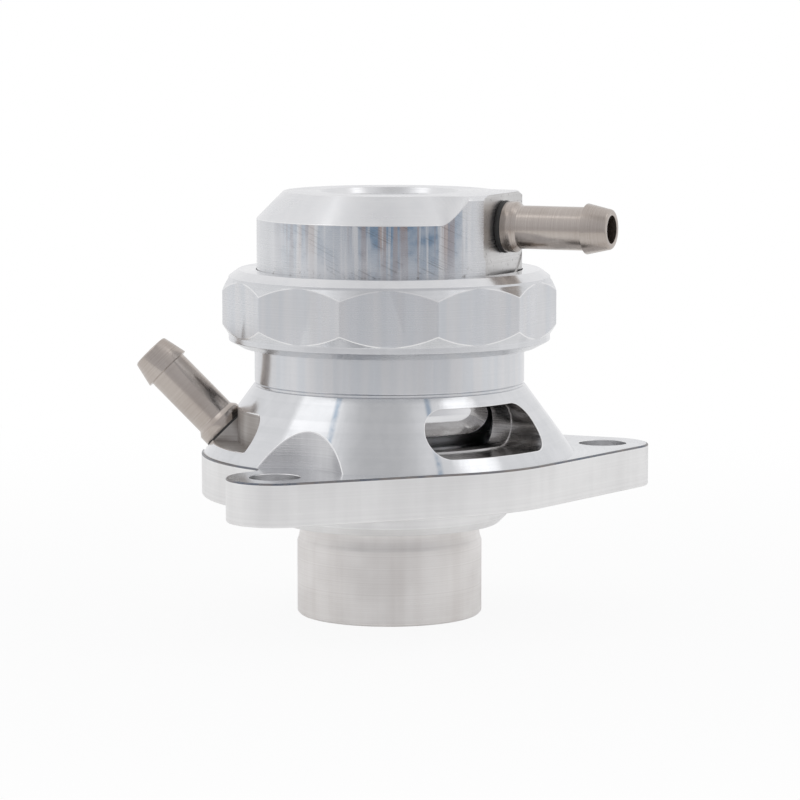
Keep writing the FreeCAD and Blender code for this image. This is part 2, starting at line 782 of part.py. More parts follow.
def clamp_ring(size):
    """A threaded ring whose inner lip holds the cap's flange down, with flats for a wrench."""
    thread = size["thread_radius"]
    lip = size["cap_radius"] + size["ring_lip_gap"]
    lip_bottom = size["flange_top"] + size["swivel_gap"]
    top = lip_bottom + size["ring_lip_thickness"]
    bottom = top - size["ring_height"]
    rim = size["ring_rim_radius"]
    corner = size["ring_corner_radius"]
    upper_rim_top = top - size["ring_top_slope"]
    upper_rim_bottom = upper_rim_top - size["ring_top_rim"]
    lower_rim_bottom = bottom + size["ring_bottom_slope"]
    lower_rim_top = lower_rim_bottom + size["ring_bottom_rim"]
    blank = turned_body("ring_blank", [
        (thread, bottom),
        (rim - size["ring_bottom_inset"], bottom),
        (rim, lower_rim_bottom),
        (rim, lower_rim_top),
        (corner, lower_rim_top + size["ring_corner_slope"]),
        (corner, upper_rim_bottom - size["ring_corner_slope"]),
        (rim, upper_rim_bottom),
        (rim, upper_rim_top),
        (rim - size["ring_top_inset"], top),
        (lip, top),
        (lip, lip_bottom),
        (thread, lip_bottom),
    ])
    flats = doc.addObject("Part::Prism", "ring_flats_bar")
    half_side = Size(HALF_TURN, str(HALF_TURN)) / size["ring_flats"]
    bind(flats, "Polygon", size["ring_flats"])
    bind(flats, "Circumradius", (rim + size["ring_flat_step"]) / cosine(half_side))
    bind(flats, "Height", size["ring_height"])
    place(flats, size["ring_turn"] + half_side, height=bottom)
    return common("clamp_ring", blank, flats)


# Hose nipples

def nipple(name, size, seat):
    """A barbed hose tail along its own axis, with its threaded shank below the seat."""
    collar_bottom = size["washer_thickness"]
    collar_top = collar_bottom + size["collar_height"]
    tube_bottom = collar_top + size["collar_slope"]
    barb_bottom = tube_bottom + size["tube_length"]
    tip = barb_bottom + size["barb_length"]
    edge = size["nose_edge"]
    body = turned_body(name, [
        (size["shank_bore_radius"], -size["shank_length"]),
        (size["shank_radius"] - edge, -size["shank_length"]),
        (size["shank_radius"], edge - size["shank_length"]),
        (size["shank_radius"], collar_bottom),
        (size["collar_radius"], collar_bottom),
        (size["collar_radius"], collar_top),
        (size["tube_radius"], tube_bottom),
        (size["tube_radius"], barb_bottom),
        (size["barb_radius"], barb_bottom),
        (size["barb_nose_radius"], tip - edge),
        (size["barb_nose_radius"] - edge, tip),
        (size["tube_bore_radius"], tip),
        (size["tube_bore_radius"], collar_top),
        (size["shank_bore_radius"], collar_top),
    ])
    return place(body, *seat)


def nipple_washer(name, size, seat):
    """The soft ring between a nipple's collar and its seat, with slanted outer edges."""
    inner = size["shank_radius"] + size["thread_gap"]
    outer, thickness, edge = size["washer_radius"], size["washer_thickness"], size["washer_thickness"] / 4
    body = turned_body(name, [
        (inner, 0),
        (outer - edge, 0),
        (outer, edge),
        (outer, thickness - edge),
        (outer - edge, thickness),
        (inner, thickness),
    ])
    return place(body, *seat)


def check_document(document):
    """Stop if any object failed, or if a groove or pocket took nothing away."""
    faults = [item.Name for item in document.Objects if {"Invalid", "Error"} & set(item.State)]
    for item in document.Objects:
        if item.TypeId in ("PartDesign::Groove", "PartDesign::Pocket"):
            if item.Shape.Volume >= item.BaseFeature.Shape.Volume:
                faults.append(item.Name)
    if faults:
        raise RuntimeError("failed objects: " + ", ".join(faults))


def export(pieces):
    """Check every piece, then write each one under its label."""
    for piece in pieces:
        if piece.Shape.isNull() or not piece.Shape.isValid() or not piece.Shape.Solids:
            raise RuntimeError("bad shape: " + piece.Label)
    os.makedirs("parts", exist_ok=True)
    for piece in pieces:
        piece.Shape.exportStep(os.path.join("parts", piece.Label + ".step"))


doc = FreeCAD.newDocument("BlowOffValve")
size = make_sheet(SIZES)
add_radii(size)
add_heights(size)
seats = nipple_seats(size)
lower_seal_drop = size["top_land"] + size["seal_groove_width"] + size["middle_land"]
pieces = [
    valve_body(size),
    clamp_ring(size),
    top_cap(size),
    cap_seal(size),
    piston(size),
    piston_seal("piston_seal_lower", lower_seal_drop, size),
    piston_seal("piston_seal_upper", size["top_land"], size),
    return_spring(size),
    nipple("upper_nipple", size, seats["upper"]),
    nipple_washer("upper_nipple_seal", size, seats["upper"]),
    nipple("lower_nipple", size, seats["lower"]),
    nipple_washer("lower_nipple_seal", size, seats["lower"]),
]
doc.recompute()
check_document(doc)
export(pieces)
for piece in pieces:
    bounds = piece.Shape.BoundBox
    print(f"{piece.Label}: volume {piece.Shape.Volume:.1f}, solids {len(piece.Shape.Solids)}, "
          f"heights {bounds.ZMin:.2f} to {bounds.ZMax:.2f}")
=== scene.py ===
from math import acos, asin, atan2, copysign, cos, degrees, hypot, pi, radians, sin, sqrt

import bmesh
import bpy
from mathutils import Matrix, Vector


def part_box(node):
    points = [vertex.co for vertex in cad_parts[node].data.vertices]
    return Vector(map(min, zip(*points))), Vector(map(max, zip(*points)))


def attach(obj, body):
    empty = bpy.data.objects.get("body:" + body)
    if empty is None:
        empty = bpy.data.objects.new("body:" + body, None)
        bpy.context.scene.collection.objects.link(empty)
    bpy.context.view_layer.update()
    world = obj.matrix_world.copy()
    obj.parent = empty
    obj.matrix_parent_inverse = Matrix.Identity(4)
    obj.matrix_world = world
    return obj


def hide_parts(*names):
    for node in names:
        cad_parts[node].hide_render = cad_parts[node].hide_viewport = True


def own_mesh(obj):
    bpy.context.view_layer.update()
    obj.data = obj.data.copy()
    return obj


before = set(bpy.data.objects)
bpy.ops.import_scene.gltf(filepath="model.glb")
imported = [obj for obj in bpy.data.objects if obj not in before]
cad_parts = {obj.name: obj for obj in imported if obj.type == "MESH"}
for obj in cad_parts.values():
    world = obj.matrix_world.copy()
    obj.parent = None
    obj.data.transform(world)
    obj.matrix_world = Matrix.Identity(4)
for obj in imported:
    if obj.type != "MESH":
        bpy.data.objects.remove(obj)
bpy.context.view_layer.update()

# %% [markdown]
# A blow off valve is a small turned and milled aluminium housing. A spigot goes into the charge
# pipe, a plate with two ears bolts down on it, and a piston inside lifts to let air out through
# slotted windows in the cone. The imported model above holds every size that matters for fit.
# This lesson dresses it: each visible metal piece is turned or milled again here, the way the
# real one is cut, because fine edge breaks and smooth reflections need a denser mesh.

MM = 0.001
FULL_TURN = 2 * pi
SCENE = bpy.context.scene
HEAD_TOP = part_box("valve_body")[1].z / MM
PISTON_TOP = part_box("piston")[1].z / MM
ring_low, ring_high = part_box("clamp_ring")
RING_BOTTOM, RING_TOP = ring_low.z / MM, ring_high.z / MM
cap_low, cap_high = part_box("top_cap")
CAP_BOTTOM, CAP_TOP = cap_low.z / MM, cap_high.z / MM
print("heights in mm:", round(HEAD_TOP, 2), round(RING_BOTTOM, 2), round(RING_TOP, 2), round(CAP_TOP, 2))


def on_bearing(bearing, radius, height):
    """A point in millimetres, from a bearing in degrees, a radius and a height."""
    angle = radians(bearing)
    return Vector((radius * cos(angle), radius * sin(angle), height))


# %% [markdown]
# The photograph is taken with a long lens from the front left and a little above. A long lens
# keeps the uprights nearly parallel, which is what makes a product picture look calm.
# The camera looks at a point on the axis half way up, set a little to the right of it.

# %% Camera
CAMERA_BEARING = -128.2
CAMERA_PITCH = 6.63
CAMERA_DISTANCE = 480.27
AIM_HEIGHT = 29.46
AIM_ASIDE = 1.46
FOCAL_PIXELS = 3482.0
FRAME_PIXELS = 800
SENSOR = 36.0


def look_at(target, eye, spot):
    """Put a camera or a lamp at a spot, so that it faces a target."""
    holder = bpy.data.objects.new(eye.name, eye)
    SCENE.collection.objects.link(holder)
    holder.location = spot
    holder.rotation_euler = (target - holder.location).to_track_quat("-Z", "Y").to_euler()
    return holder


lens = bpy.data.cameras.new("camera")
lens.sensor_width = SENSOR
lens.lens = FOCAL_PIXELS / FRAME_PIXELS * SENSOR
lens.clip_start = 0.01
aim = on_bearing(CAMERA_BEARING + 90, AIM_ASIDE, AIM_HEIGHT) * MM
level_reach = CAMERA_DISTANCE * cos(radians(CAMERA_PITCH))
camera_rise = CAMERA_DISTANCE * sin(radians(CAMERA_PITCH))
stand = aim + on_bearing(CAMERA_BEARING, level_reach, camera_rise) * MM
SCENE.camera = look_at(aim, lens, stand)
print("the camera stands at", [round(number, 4) for number in stand])

# %% [markdown]
# Bright metal shows its room, so the room is half of the material. A light tent is nearly white
# all round, and greyer where the photographer stands, which gives the cap, the ring and the neck
# their grey middles. A grey patch of ceiling does the same for the cone, and two soft boxes beside
# it give the cone its bright bands. The colour depends only on a direction in the room, so every
# other view sees the same room.

# %% Shader helpers
def add_node(tree, kind, **settings):
    """A shader node of a kind such as Math, with its settings."""
    node = tree.nodes.new("ShaderNode" + kind)
    for name, value in settings.items():
        setattr(node, name, value)
    return node


def feed(socket, value):
    """Join an output to a socket, or write a number or a colour of three numbers on it."""
    if isinstance(value, bpy.types.NodeSocket):
        socket.id_data.links.new(value, socket)
    else:
        socket.default_value = (*value, 1.0) if socket.type == "RGBA" else value


def put(node, **inputs):
    """Feed a node's inputs by their names, with _ for a space, and give the node back."""
    for name, value in inputs.items():
        feed(node.inputs[name.replace("_", " ")], value)
    return node


def maths(operation, first, second=0.5):
    """One arithmetic node on two sockets, or on a socket and a number."""
    tree = (first if isinstance(first, bpy.types.NodeSocket) else second).id_data
    node = add_node(tree, "Math", operation=operation)
    feed(node.inputs[0], first)
    feed(node.inputs[1], second)
    return node.outputs[0]


def times(first, second):
    return maths("MULTIPLY", first, second)


def plus(first, second):
    return maths("ADD", first, second)


def on_vector(operation, vector, other=(0, 0, 0)):
    """What an operation on a vector and another gives: a Vector or a Value."""
    node = add_node(vector.id_data, "VectorMath", operation=operation)
    feed(node.inputs[0], vector)
    feed(node.inputs[1], other)
    return node.outputs


def along(place, direction):
    """How far a place lies in a direction."""
    return on_vector("DOT_PRODUCT", place, direction)["Value"]


def scaled(vector, factor):
    return on_vector("MULTIPLY", vector, factor)["Vector"]


def noise(place, scale=1.0, detail=3.0, roughness=0.5):
    """Soft noise about 0.5, at a place or on a plain number."""
    plain = place.type == "VALUE"
    node = add_node(place.id_data, "TexNoise", noise_dimensions="1D" if plain else "3D")
    feed(node.inputs["W" if plain else "Vector"], place)
    return put(node, Scale=scale, Detail=detail, Roughness=roughness).outputs["Fac"]


def spread(value, low, high, new_low=0.0, new_high=1.0):
    """Stretch the values from low to high over the new range, with soft ends."""
    node = add_node(value.id_data, "MapRange", interpolation_type="SMOOTHSTEP")
    put(node, Value=value, From_Min=low, From_Max=high, To_Min=new_low, To_Max=new_high)
    return node.outputs["Result"]


def blend(factor, first, second):
    """Mix two colours."""
    node = add_node(factor.id_data, "Mix", data_type="RGBA")
    feed(node.inputs["Factor"], factor)
    colours = [socket for socket in node.inputs if socket.type == "RGBA"]
    feed(colours[0], first)
    feed(colours[1], second)
    return next(socket for socket in node.outputs if socket.type == "RGBA")


print("shader helpers are ready")

# %% The light tent, by directions in degrees from the camera's bearing
WHITE = (1.0, 1.0, 1.0)
TENT_WHITE = (0.88, 0.88, 0.89)
FRONT_GREY = (0.60, 0.60, 0.62)
CEILING_GREY = (0.58, 0.58, 0.59)
TOP_GREY = (0.80, 0.80, 0.81)
BOX_DISTANCE = 450


def towards(bearing, lift):
    """The unit direction on a bearing, lifted from level by some degrees."""
    return on_bearing(bearing, cos(radians(lift)), sin(radians(lift)))


def make_room():
    world = bpy.data.worlds.new("light_tent")
    SCENE.world = world
    world.use_nodes = True
    tree = world.node_tree
    tree.nodes.clear()
    place = add_node(tree, "TexCoord").outputs["Generated"]

    def near(bearing, lift, far, close):
        """1 within close degrees of a direction, and 0 beyond far degrees."""
        facing = along(place, towards(CAMERA_BEARING + bearing, lift))
        return spread(facing, cos(radians(far)), cos(radians(close)))

    colour = blend(near(0, -5, 95, 20), TENT_WHITE, FRONT_GREY)
    colour = blend(near(-20, 88, 38, 8), colour, TOP_GREY)
    colour = blend(near(-8, 64, 22, 5), colour, CEILING_GREY)
    seen = add_node(tree, "LightPath").outputs["Is Camera Ray"]
    tent = put(add_node(tree, "Background"), Color=blend(seen, colour, WHITE))
    put(add_node(tree, "OutputWorld"), Surface=tent.outputs[0])
    print("the tent has", len(tree.nodes), "nodes")


def soft_box(name, bearing, lift, width, brightness):
    """A square lamp that faces the valve. Brightness 1 looks white."""
    lamp = bpy.data.lights.new(name, "AREA")
    lamp.size = width * MM
    lamp.energy = brightness * pi * lamp.size ** 2
    middle = Vector((0, 0, AIM_HEIGHT * MM))
    look_at(middle, lamp, middle + towards(CAMERA_BEARING + bearing, lift) * BOX_DISTANCE * MM)


make_room()
soft_box("right_box", 79, 53, 150, 0.6)
soft_box("left_box", -79, 53, 190, 0.45)

# %% [markdown]
# The valve stands on a round sheet of white paper. The camera sees it almost white, as in the
# photograph, and a faint shadow stays, so that the valve doesn't float. The paper lies a hair
# below the spigot, because two faces in one plane would flicker.

# %% The floor
FLOOR_REACH, FLOOR_NEAR, FLOOR_GAP = 220 * MM, 40 * MM, 0.05 * MM


def solid(name, mesh, *finishes):
    """An object from a mesh, with its finishes in its slots."""
    data = bpy.data.meshes.new(name)
    mesh.to_mesh(data)
    mesh.free()
    for finish in finishes:
        data.materials.append(finish)
    piece = bpy.data.objects.new(name, data)
    SCENE.collection.objects.link(piece)
    return piece


def new_finish(name):
    """A material, its surface node and the piece's own coordinates."""
    material = bpy.data.materials.new(name)
    material.use_nodes = True
    tree = material.node_tree
    return material, tree.nodes["Principled BSDF"], add_node(tree, "TexCoord").outputs["Object"]


paper, surface, place = new_finish("white_paper")
put(surface, Base_Color=(0.92, 0.92, 0.92), Roughness=0.9)
tree = paper.node_tree
seen = add_node(tree, "LightPath").outputs
reach = on_vector("LENGTH", place)["Value"]
veil = times(seen["Is Camera Ray"], spread(reach, FLOOR_NEAR, FLOOR_REACH, 0.9, 1.0))
glow = plus(veil, times(seen["Is Glossy Ray"], 0.5))
mixed = put(add_node(tree, "MixShader"), Fac=glow)
feed(mixed.inputs[1], surface.outputs[0])
feed(mixed.inputs[2], add_node(tree, "Emission").outputs[0])
put(tree.nodes["Material Output"], Surface=mixed.outputs[0])
mesh = bmesh.new()
under = Matrix.Translation((0, 0, -FLOOR_GAP))
bmesh.ops.create_circle(mesh, cap_ends=True, segments=96, radius=FLOOR_REACH, matrix=under)
floor = solid("floor", mesh, paper)
SCENE.view_settings.view_transform = "Standard"
print("lamps:", [lamp.name for lamp in bpy.data.lights])

# %% [markdown]
# Turned metal carries fine rings from the tool. On a wall they run level, and on an end face they are
# circles, so one number, the height plus most of the radius, counts them on both. Noise in that number is the
# whole effect. It could be painted on, but a rule in space follows every step and cone with no unwrapping.
# Hands and cleaning leave clouds and specks, which are noise as well. Upright streaks of lighter and darker
# metal are noise too: painted reflections, the streaks a turned wall shows of its room. Each is a node group,
# because every finish uses it.

# %% Node groups for the marks on the metal
def new_group(name, outputs, **numbers):
    """A group from a Vector and some numbers, here with their usual values, to other numbers."""
    group = bpy.data.node_groups.new(name, "ShaderNodeTree")
    group.interface.new_socket("Vector", in_out="INPUT", socket_type="NodeSocketVector")
    for label, number in numbers.items():
        label = label.replace("_", " ")
        socket = group.interface.new_socket(label, in_out="INPUT", socket_type="NodeSocketFloat")
        socket.default_value = number
    for label in outputs:
        group.interface.new_socket(label, in_out="OUTPUT", socket_type="NodeSocketFloat")
    return group, group.nodes.new("NodeGroupInput").outputs, group.nodes.new("NodeGroupOutput")


def make_turning_marks():
    """Rings about the vector's Z axis: their shade and their height, from 0 to 1."""
    group, given, result = new_group("turning_marks", ("Shade", "Height"), Lines_per_mm=4.0, Inward=0.8)
    radius = on_vector("LENGTH", scaled(given["Vector"], (1, 1, 0)))["Value"]
    height = along(given["Vector"], (0, 0, 1))
    count = times(plus(height, times(radius, given["Inward"])), 1 / MM)
    rings = noise(times(count, given["Lines per mm"]), roughness=0.7)
    put(result, Shade=spread(rings, 0.25, 0.75), Height=rings)
    return group


def make_handling_marks():
    """Soft cloudy patches and finer specks, as hands leave on bare metal."""
    group, given, result = new_group("handling_marks", ("Patches", "Specks"), Patches_per_mm=0.15)
    place = scaled(given["Vector"], times(given["Patches per mm"], 1 / MM))
    patches, specks = noise(place), noise(place, scale=16.0, detail=2.0)
    put(result, Patches=spread(patches, 0.35, 0.7), Specks=spread(specks, 0.6, 0.75))
    return group


def make_upright_streaks():
    """Streaks that run up the wall: noise stretched along Z. Shade is painted reflection, and Tint places the
    stains.
    """
    group, given, result = new_group("upright_streaks", ("Shade", "Tint"), Streaks_per_mm=0.6)
    stretch = put(add_node(group, "Mapping"), Vector=given["Vector"],
                  Scale=(1 / MM, 1 / MM, 0.03 / MM))
    for label, offset in (("Shade", 0), ("Tint", 40)):
        shifted = on_vector("ADD", stretch.outputs["Vector"], (offset, offset, 0))["Vector"]
        place = scaled(shifted, given["Streaks per mm"])
        feed(result.inputs[label], spread(noise(place, detail=4.0), 0.35, 0.65))
    return group


TURNING_MARKS = make_turning_marks()
HANDLING_MARKS = make_handling_marks()
UPRIGHT_STREAKS = make_upright_streaks()
print("groups:", [group.name for group in bpy.data.node_groups])

# %% [markdown]
# Bare aluminium is one metal with many finishes: mirror bright where it was polished, satin where
# only the lathe tool went, and rougher where an end mill did. Every finish is the same recipe with
# its own numbers: two tints, a roughness, how fine and deep the tool's rings are, and a stain, such
# as the two thin blue streaks that run down the front of the cone.

# %% Bare metal finishes
MICRON = 1e-6


def marks_of(group, place, **inputs):
    """What a group gives at a place, with its usual numbers where no others are named."""
    node = add_node(place.id_data, "Group", node_tree=group)
    return put(node, Vector=place, **inputs).outputs


def metal(name, tints, roughness, lines=4.0, depth=0.6, inward=0.8, smear=0.6, place_on=None, stain=None):
    """Metal with the tool's rings, depth microns high. smear stretches its gloss across them."""
    material, surface, place = new_finish(name)
    tree = material.node_tree
    if smear:
        about = add_node(tree, "Tangent", direction_type="RADIAL", axis="Z")
        put(surface, Anisotropic=smear, Anisotropic_Rotation=0.25, Tangent=about.outputs["Tangent"])
    if place_on is not None:
        centre = put(add_node(tree, "Mapping", vector_type="TEXTURE"), Vector=place,
                     Location=place_on.to_translation() * MM, Rotation=place_on.to_euler())
        place = centre.outputs["Vector"]
    rings = marks_of(TURNING_MARKS, place, Lines_per_mm=lines, Inward=inward)
    marks = marks_of(HANDLING_MARKS, place)
    streaks = marks_of(UPRIGHT_STREAKS, place)
    wear = plus(rings["Shade"], marks["Patches"])
    # Part of the tone is the upright streaks' Shade: painted reflection streaks up the wall.
    colour = blend(plus(times(wear, 0.35), times(streaks["Shade"], 0.3)), *tints)
    if stain:
        colour = stain(place, colour, streaks, marks)
    rough = plus(times(wear, roughness * 0.3), roughness * 0.75)
    bump = put(add_node(tree, "Bump"), Distance=depth * MICRON, Height=rings["Height"])
    put(surface, Metallic=1.0, Base_Color=colour, Roughness=rough, Normal=bump.outputs["Normal"])
    return material


STAIN_BLUE = (0.24, 0.33, 0.44)
STAIN_BROWN = (0.43, 0.34, 0.31)
GRIME = (0.16, 0.15, 0.14)
STREAK_BEARINGS, STREAK_CORE, STREAK_EDGE = (-148.6, -112.8), 0.05 * MM, 0.65 * MM


def light_stain(place, colour, streaks, marks):
    """A thin blue and brown film in upright streaks."""
    colour = blend(times(streaks["Tint"], 0.12), colour, STAIN_BLUE)
    brown = maths("SUBTRACT", 1.0, streaks["Tint"])
    return blend(times(brown, 0.06), colour, STAIN_BROWN)


def cone_streaks(place, colour, streaks, marks):
    """Two thin blue streaks that run down the front of the cone."""
    for bearing in STREAK_BEARINGS:
        aside = maths("ABSOLUTE", along(place, towards(bearing + 90, 0)))
        in_front = spread(along(place, towards(bearing, 0)), 0.0, 5 * MM)
        streak = times(spread(aside, STREAK_CORE, STREAK_EDGE, 0.7, 0.0), in_front)
        streak = times(streak, spread(streaks["Shade"], 0.0, 1.0, 0.4, 1.0))
        colour = blend(streak, colour, STAIN_BLUE)
    return colour


ALUMINIUM = (0.76, 0.765, 0.78), (0.66, 0.67, 0.685)
BRIGHT = (0.82, 0.82, 0.825), ALUMINIUM[0]
PLAIN = (0.87, 0.865, 0.86), (0.79, 0.785, 0.78)
WARM = (0.81, 0.79, 0.775), (0.70, 0.67, 0.65)
MILL_GREY = (0.8, 0.8, 0.81), (0.62, 0.62, 0.63)
# The window walls' tints are darker than other milled metal: painted shade inside the narrow windows.
SHADED_WINDOW_GREY = (0.6, 0.59, 0.58), (0.36, 0.34, 0.33)
# The notch walls' tints are darker and browner than other milled metal: painted shade and a painted
# reflection of the lower nipple.
SHADED_NOTCH_GREY = (0.5, 0.48, 0.46), (0.35, 0.32, 0.30)
WIRE_GREY = (0.56, 0.56, 0.57), (0.42, 0.42, 0.43)
# GLINT is lighter than the bare aluminium: a painted highlight for the edge breaks and a few fresh cut faces.
GLINT = (0.9, 0.9, 0.9), BRIGHT[0]
POLISHED = metal("polished_cone", ALUMINIUM, 0.14, lines=2, depth=0.25, stain=cone_streaks)
NECK_SATIN = metal("neck_satin", ALUMINIUM, 0.2, lines=5, depth=0.9, stain=light_stain)
SPIGOT_SATIN = metal("spigot_satin", WARM, 0.36, lines=5, depth=1.2)
PLATE_SIDE = metal("plate_side", PLAIN, 0.36, lines=3, depth=0.8, inward=0, smear=0)
PLATE_FACE = metal("plate_face", ALUMINIUM, 0.18, lines=3, depth=0.4, smear=0)
BORE = metal("bored_inside", BRIGHT, 0.42, lines=3)
MILLED = metal("milled_wall", MILL_GREY, 0.3, lines=5, depth=1.4, inward=0)
WINDOW_WALL = metal("window_wall", SHADED_WINDOW_GREY, 0.24, depth=1.2, inward=0, smear=0)
NOTCH_METAL = metal("notch_wall", SHADED_NOTCH_GREY, 0.4, inward=0, smear=0)
EDGE_HIGHLIGHT_METAL = metal("edge_highlight_metal", GLINT, 0.2, depth=0.2, smear=0)
RING_FLAT = metal("ring_flat", ALUMINIUM, 0.3, lines=6, depth=1.2, inward=0, stain=light_stain)
RING_TURNED = metal("ring_turned", ALUMINIUM, 0.24, lines=5, depth=0.8)
RING_LIP = metal("ring_lip", BRIGHT, 0.18, depth=0.3)
CAP_CHAMFER = metal("cap_chamfer", BRIGHT, 0.22, lines=5, depth=0.4)
CAP_UPPER = metal("cap_top", BRIGHT, 0.24)
PISTON_BRIGHT = metal("piston_bright", BRIGHT, 0.08, lines=3, depth=0.3, smear=0)
SPRING_WIRE = metal("spring_wire", WIRE_GREY, 0.3, smear=0)
print("materials:", len(bpy.data.materials))

# %% [markdown]
# The cap's side has the most history. Heat left a blue and brown film in upright streaks on its
# front, mostly on the upper half. Thin slanted scratches cross it, and dark grime sits in the
# corner over the clamp ring. Masks on the piece's own coordinates place all three.

# %% The cap's stained side
STAINED_BEARING, DARKEST_BEARING = -142, -118
FILM_FOOT, FILM_FULL = 47.5 * MM, 53.5 * MM
GRIME_FOOT, GRIME_TOP = 46.8 * MM, 49.6 * MM
SCRATCHES_PER_MM = 4.0


def cap_stain(place, colour, streaks, marks):
    def facing(bearing, low, high, most):
        """How far the wall faces a bearing, from 0 up to the most it may be."""
        return spread(along(place, towards(bearing, 0)), low * MM, high * MM, 0.0, most)

    height = along(place, (0, 0, 1))
    front = plus(facing(STAINED_BEARING, 11.5, 16.5, 0.4), facing(DARKEST_BEARING, 15.6, 18.0, 0.6))
    blocks = marks_of(HANDLING_MARKS, place, Patches_per_mm=0.3)["Patches"]
    film = times(times(front, spread(height, FILM_FOOT, FILM_FULL, 0.4, 1.0)),
                 spread(blocks, 0.0, 0.8, 0.6, 1.0))
    columns = marks_of(UPRIGHT_STREAKS, place, Streaks_per_mm=0.85)
    blue = times(spread(columns["Tint"], 0.1, 0.6), film)
    colour = blend(times(blue, 1.1), colour, STAIN_BLUE)
    brown = times(spread(columns["Shade"], 0.5, 0.9), film)
    colour = blend(times(brown, 0.8), colour, STAIN_BROWN)
    slant = along(place, on_bearing(CAMERA_BEARING + 90, 0.45, 0.89))
    scratches = spread(noise(times(slant, SCRATCHES_PER_MM / MM), detail=4.0), 0.54, 0.66)
    scratches = times(times(scratches, spread(blocks, 0.3, 0.7)), front)
    colour = blend(times(scratches, 0.4), colour, GRIME)
    dirt = times(spread(height, GRIME_FOOT, GRIME_TOP, 1.0, 0.0), marks["Specks"])
    return blend(times(dirt, 0.8), colour, GRIME)


CAP_SIDE = metal("cap_side", ALUMINIUM, 0.26, lines=6, depth=1.2, stain=cap_stain)
print("the cap's side has", len(CAP_SIDE.node_tree.nodes), "nodes")

# %% [markdown]
# Fine dust settles where a cutter or a file left its marks: on the milled flat behind the upper nipple, and
# on the plate's upper rim. The rim is also much darker than the plate, a thin dark line along its top edge.

# %% Dusty finishes
def fine_grime(place, colour, streaks, marks):
    """Dark specks over the whole face."""
    return blend(times(marks["Specks"], 0.5), colour, GRIME)


DUSTY_GREY = (0.70, 0.695, 0.69), (0.6, 0.59, 0.58)
# The rim's tints are far darker than the plate's: a thin dark line along the top edge.
DARK_RIM_TINTS = (0.13, 0.16, 0.21), (0.30, 0.26, 0.23)
NIPPLE_FACE = metal("nipple_face", DUSTY_GREY, 0.34, lines=5, depth=1, inward=0, smear=0,
                    stain=fine_grime)
PLATE_RIM = metal("plate_rim", DARK_RIM_TINTS, 0.3, lines=3, smear=0, stain=fine_grime)
print("dusty finishes:", NIPPLE_FACE.name, PLATE_RIM.name)

# %% [markdown]
# The seals are black rubber. Rubber isn't metal: it has a deep colour, a dull skin with a fine
# grain, and a little pale dust where fingers and the mould left it.

# %% Rubber
RUBBER, surface, place = new_finish("seal_rubber")
marks = marks_of(HANDLING_MARKS, place, Patches_per_mm=0.8)
colour = blend(marks["Patches"], (0.012, 0.012, 0.012), (0.035, 0.034, 0.033))
rough = spread(marks["Patches"], 0.0, 1.0, 0.45, 0.65)
bump = put(add_node(RUBBER.node_tree, "Bump"), Distance=4 * MICRON, Height=marks["Specks"])
put(surface, Base_Color=colour, Roughness=rough, Normal=bump.outputs["Normal"])
print("rubber has", len(RUBBER.node_tree.nodes), "nodes")

# %% [markdown]
# A lathe part is half of its section spun about the axis, so the tools for it are a pen that draws
# the section and a spin. The pen extrudes its last point for a straight run, and spins it about a
# centre for an arc. All of it is in millimetres, and only a finished piece is brought to metres.
# A milled feature is a cutter, placed where the mill would go, and a Boolean takes it away.

# %% A pen, a lathe and a mill
STEPS = 176
EDGE_BREAK = 0.12
CORNER = radians(30)
SAME_SPOT, LONGEST_STEP = 0.0005, 2


class Pen:
    """Draws an outline in millimetres, in the lathe's section (radius, height) or seen from above."""

    def __init__(self, *corners, from_above=False):
        self.axis = Vector((0, 0, 1)) if from_above else Vector((0, -1, 0))
        self.mesh = bmesh.new()
        self.first = self.tip = self.mesh.verts.new(self.spot(*corners[0]))
        self.lines(*corners[1:])

    def spot(self, across, up):
        return Vector((across, up, 0) if self.axis.z else (across, 0, up))

    def lines(self, *corners):
        for corner in corners:
            self.tip = bmesh.ops.extrude_vert_indiv(self.mesh, verts=[self.tip])["verts"][0]
            self.tip.co = self.spot(*corner)

    def swing(self, centre, angle, steps=12):
        """An arc about a centre, counter-clockwise for an angle above zero."""
        made = bmesh.ops.spin(self.mesh, geom=[self.tip], cent=centre, axis=self.axis,
                              angle=angle, steps=steps)
        self.tip = made["geom_last"][0]

    def curve(self, across, up, radius, steps=12):
        """An arc to a point, its centre left of the way, or right for a radius below zero."""
        start, end = self.tip.co.copy(), self.spot(across, up)
        chord = end - start
        half = chord.length / 2
        reach = sqrt(radius ** 2 - half ** 2)
        leftwards = self.axis.cross(chord).normalized()
        centre = (start + end) / 2 + leftwards * copysign(reach, radius)
        self.swing(centre, copysign(2 * asin(half / abs(radius)), radius), steps)

    def close(self):
        self.mesh.edges.new((self.tip, self.first))
        bmesh.ops.remove_doubles(self.mesh, verts=self.mesh.verts, dist=SAME_SPOT)
        return self.mesh


def fill_holes(mesh):
    bmesh.ops.holes_fill(mesh, edges=[edge for edge in mesh.edges if edge.is_boundary], sides=0)


def face_bearing(mesh, bearing):
    """Turn a mesh about the valve's axis by a bearing in degrees."""
    turned = Matrix.Rotation(radians(bearing), 3, "Z")
    bmesh.ops.rotate(mesh, verts=mesh.verts, cent=(0, 0, 0), matrix=turned)


def turn(mesh, first=0.0, sweep=360.0):
    """Spin a section about the valve's axis, from a bearing and through so many degrees."""
    face_bearing(mesh, first)
    bmesh.ops.spin(mesh, geom=mesh.verts[:] + mesh.edges[:], cent=(0, 0, 0), axis=(0, 0, 1),
                   angle=radians(sweep), steps=round(STEPS * sweep / 360), use_merge=sweep == 360)
    bmesh.ops.remove_doubles(mesh, verts=mesh.verts, dist=SAME_SPOT)
    fill_holes(mesh)
    bmesh.ops.recalc_face_normals(mesh, faces=mesh.faces)
    return mesh


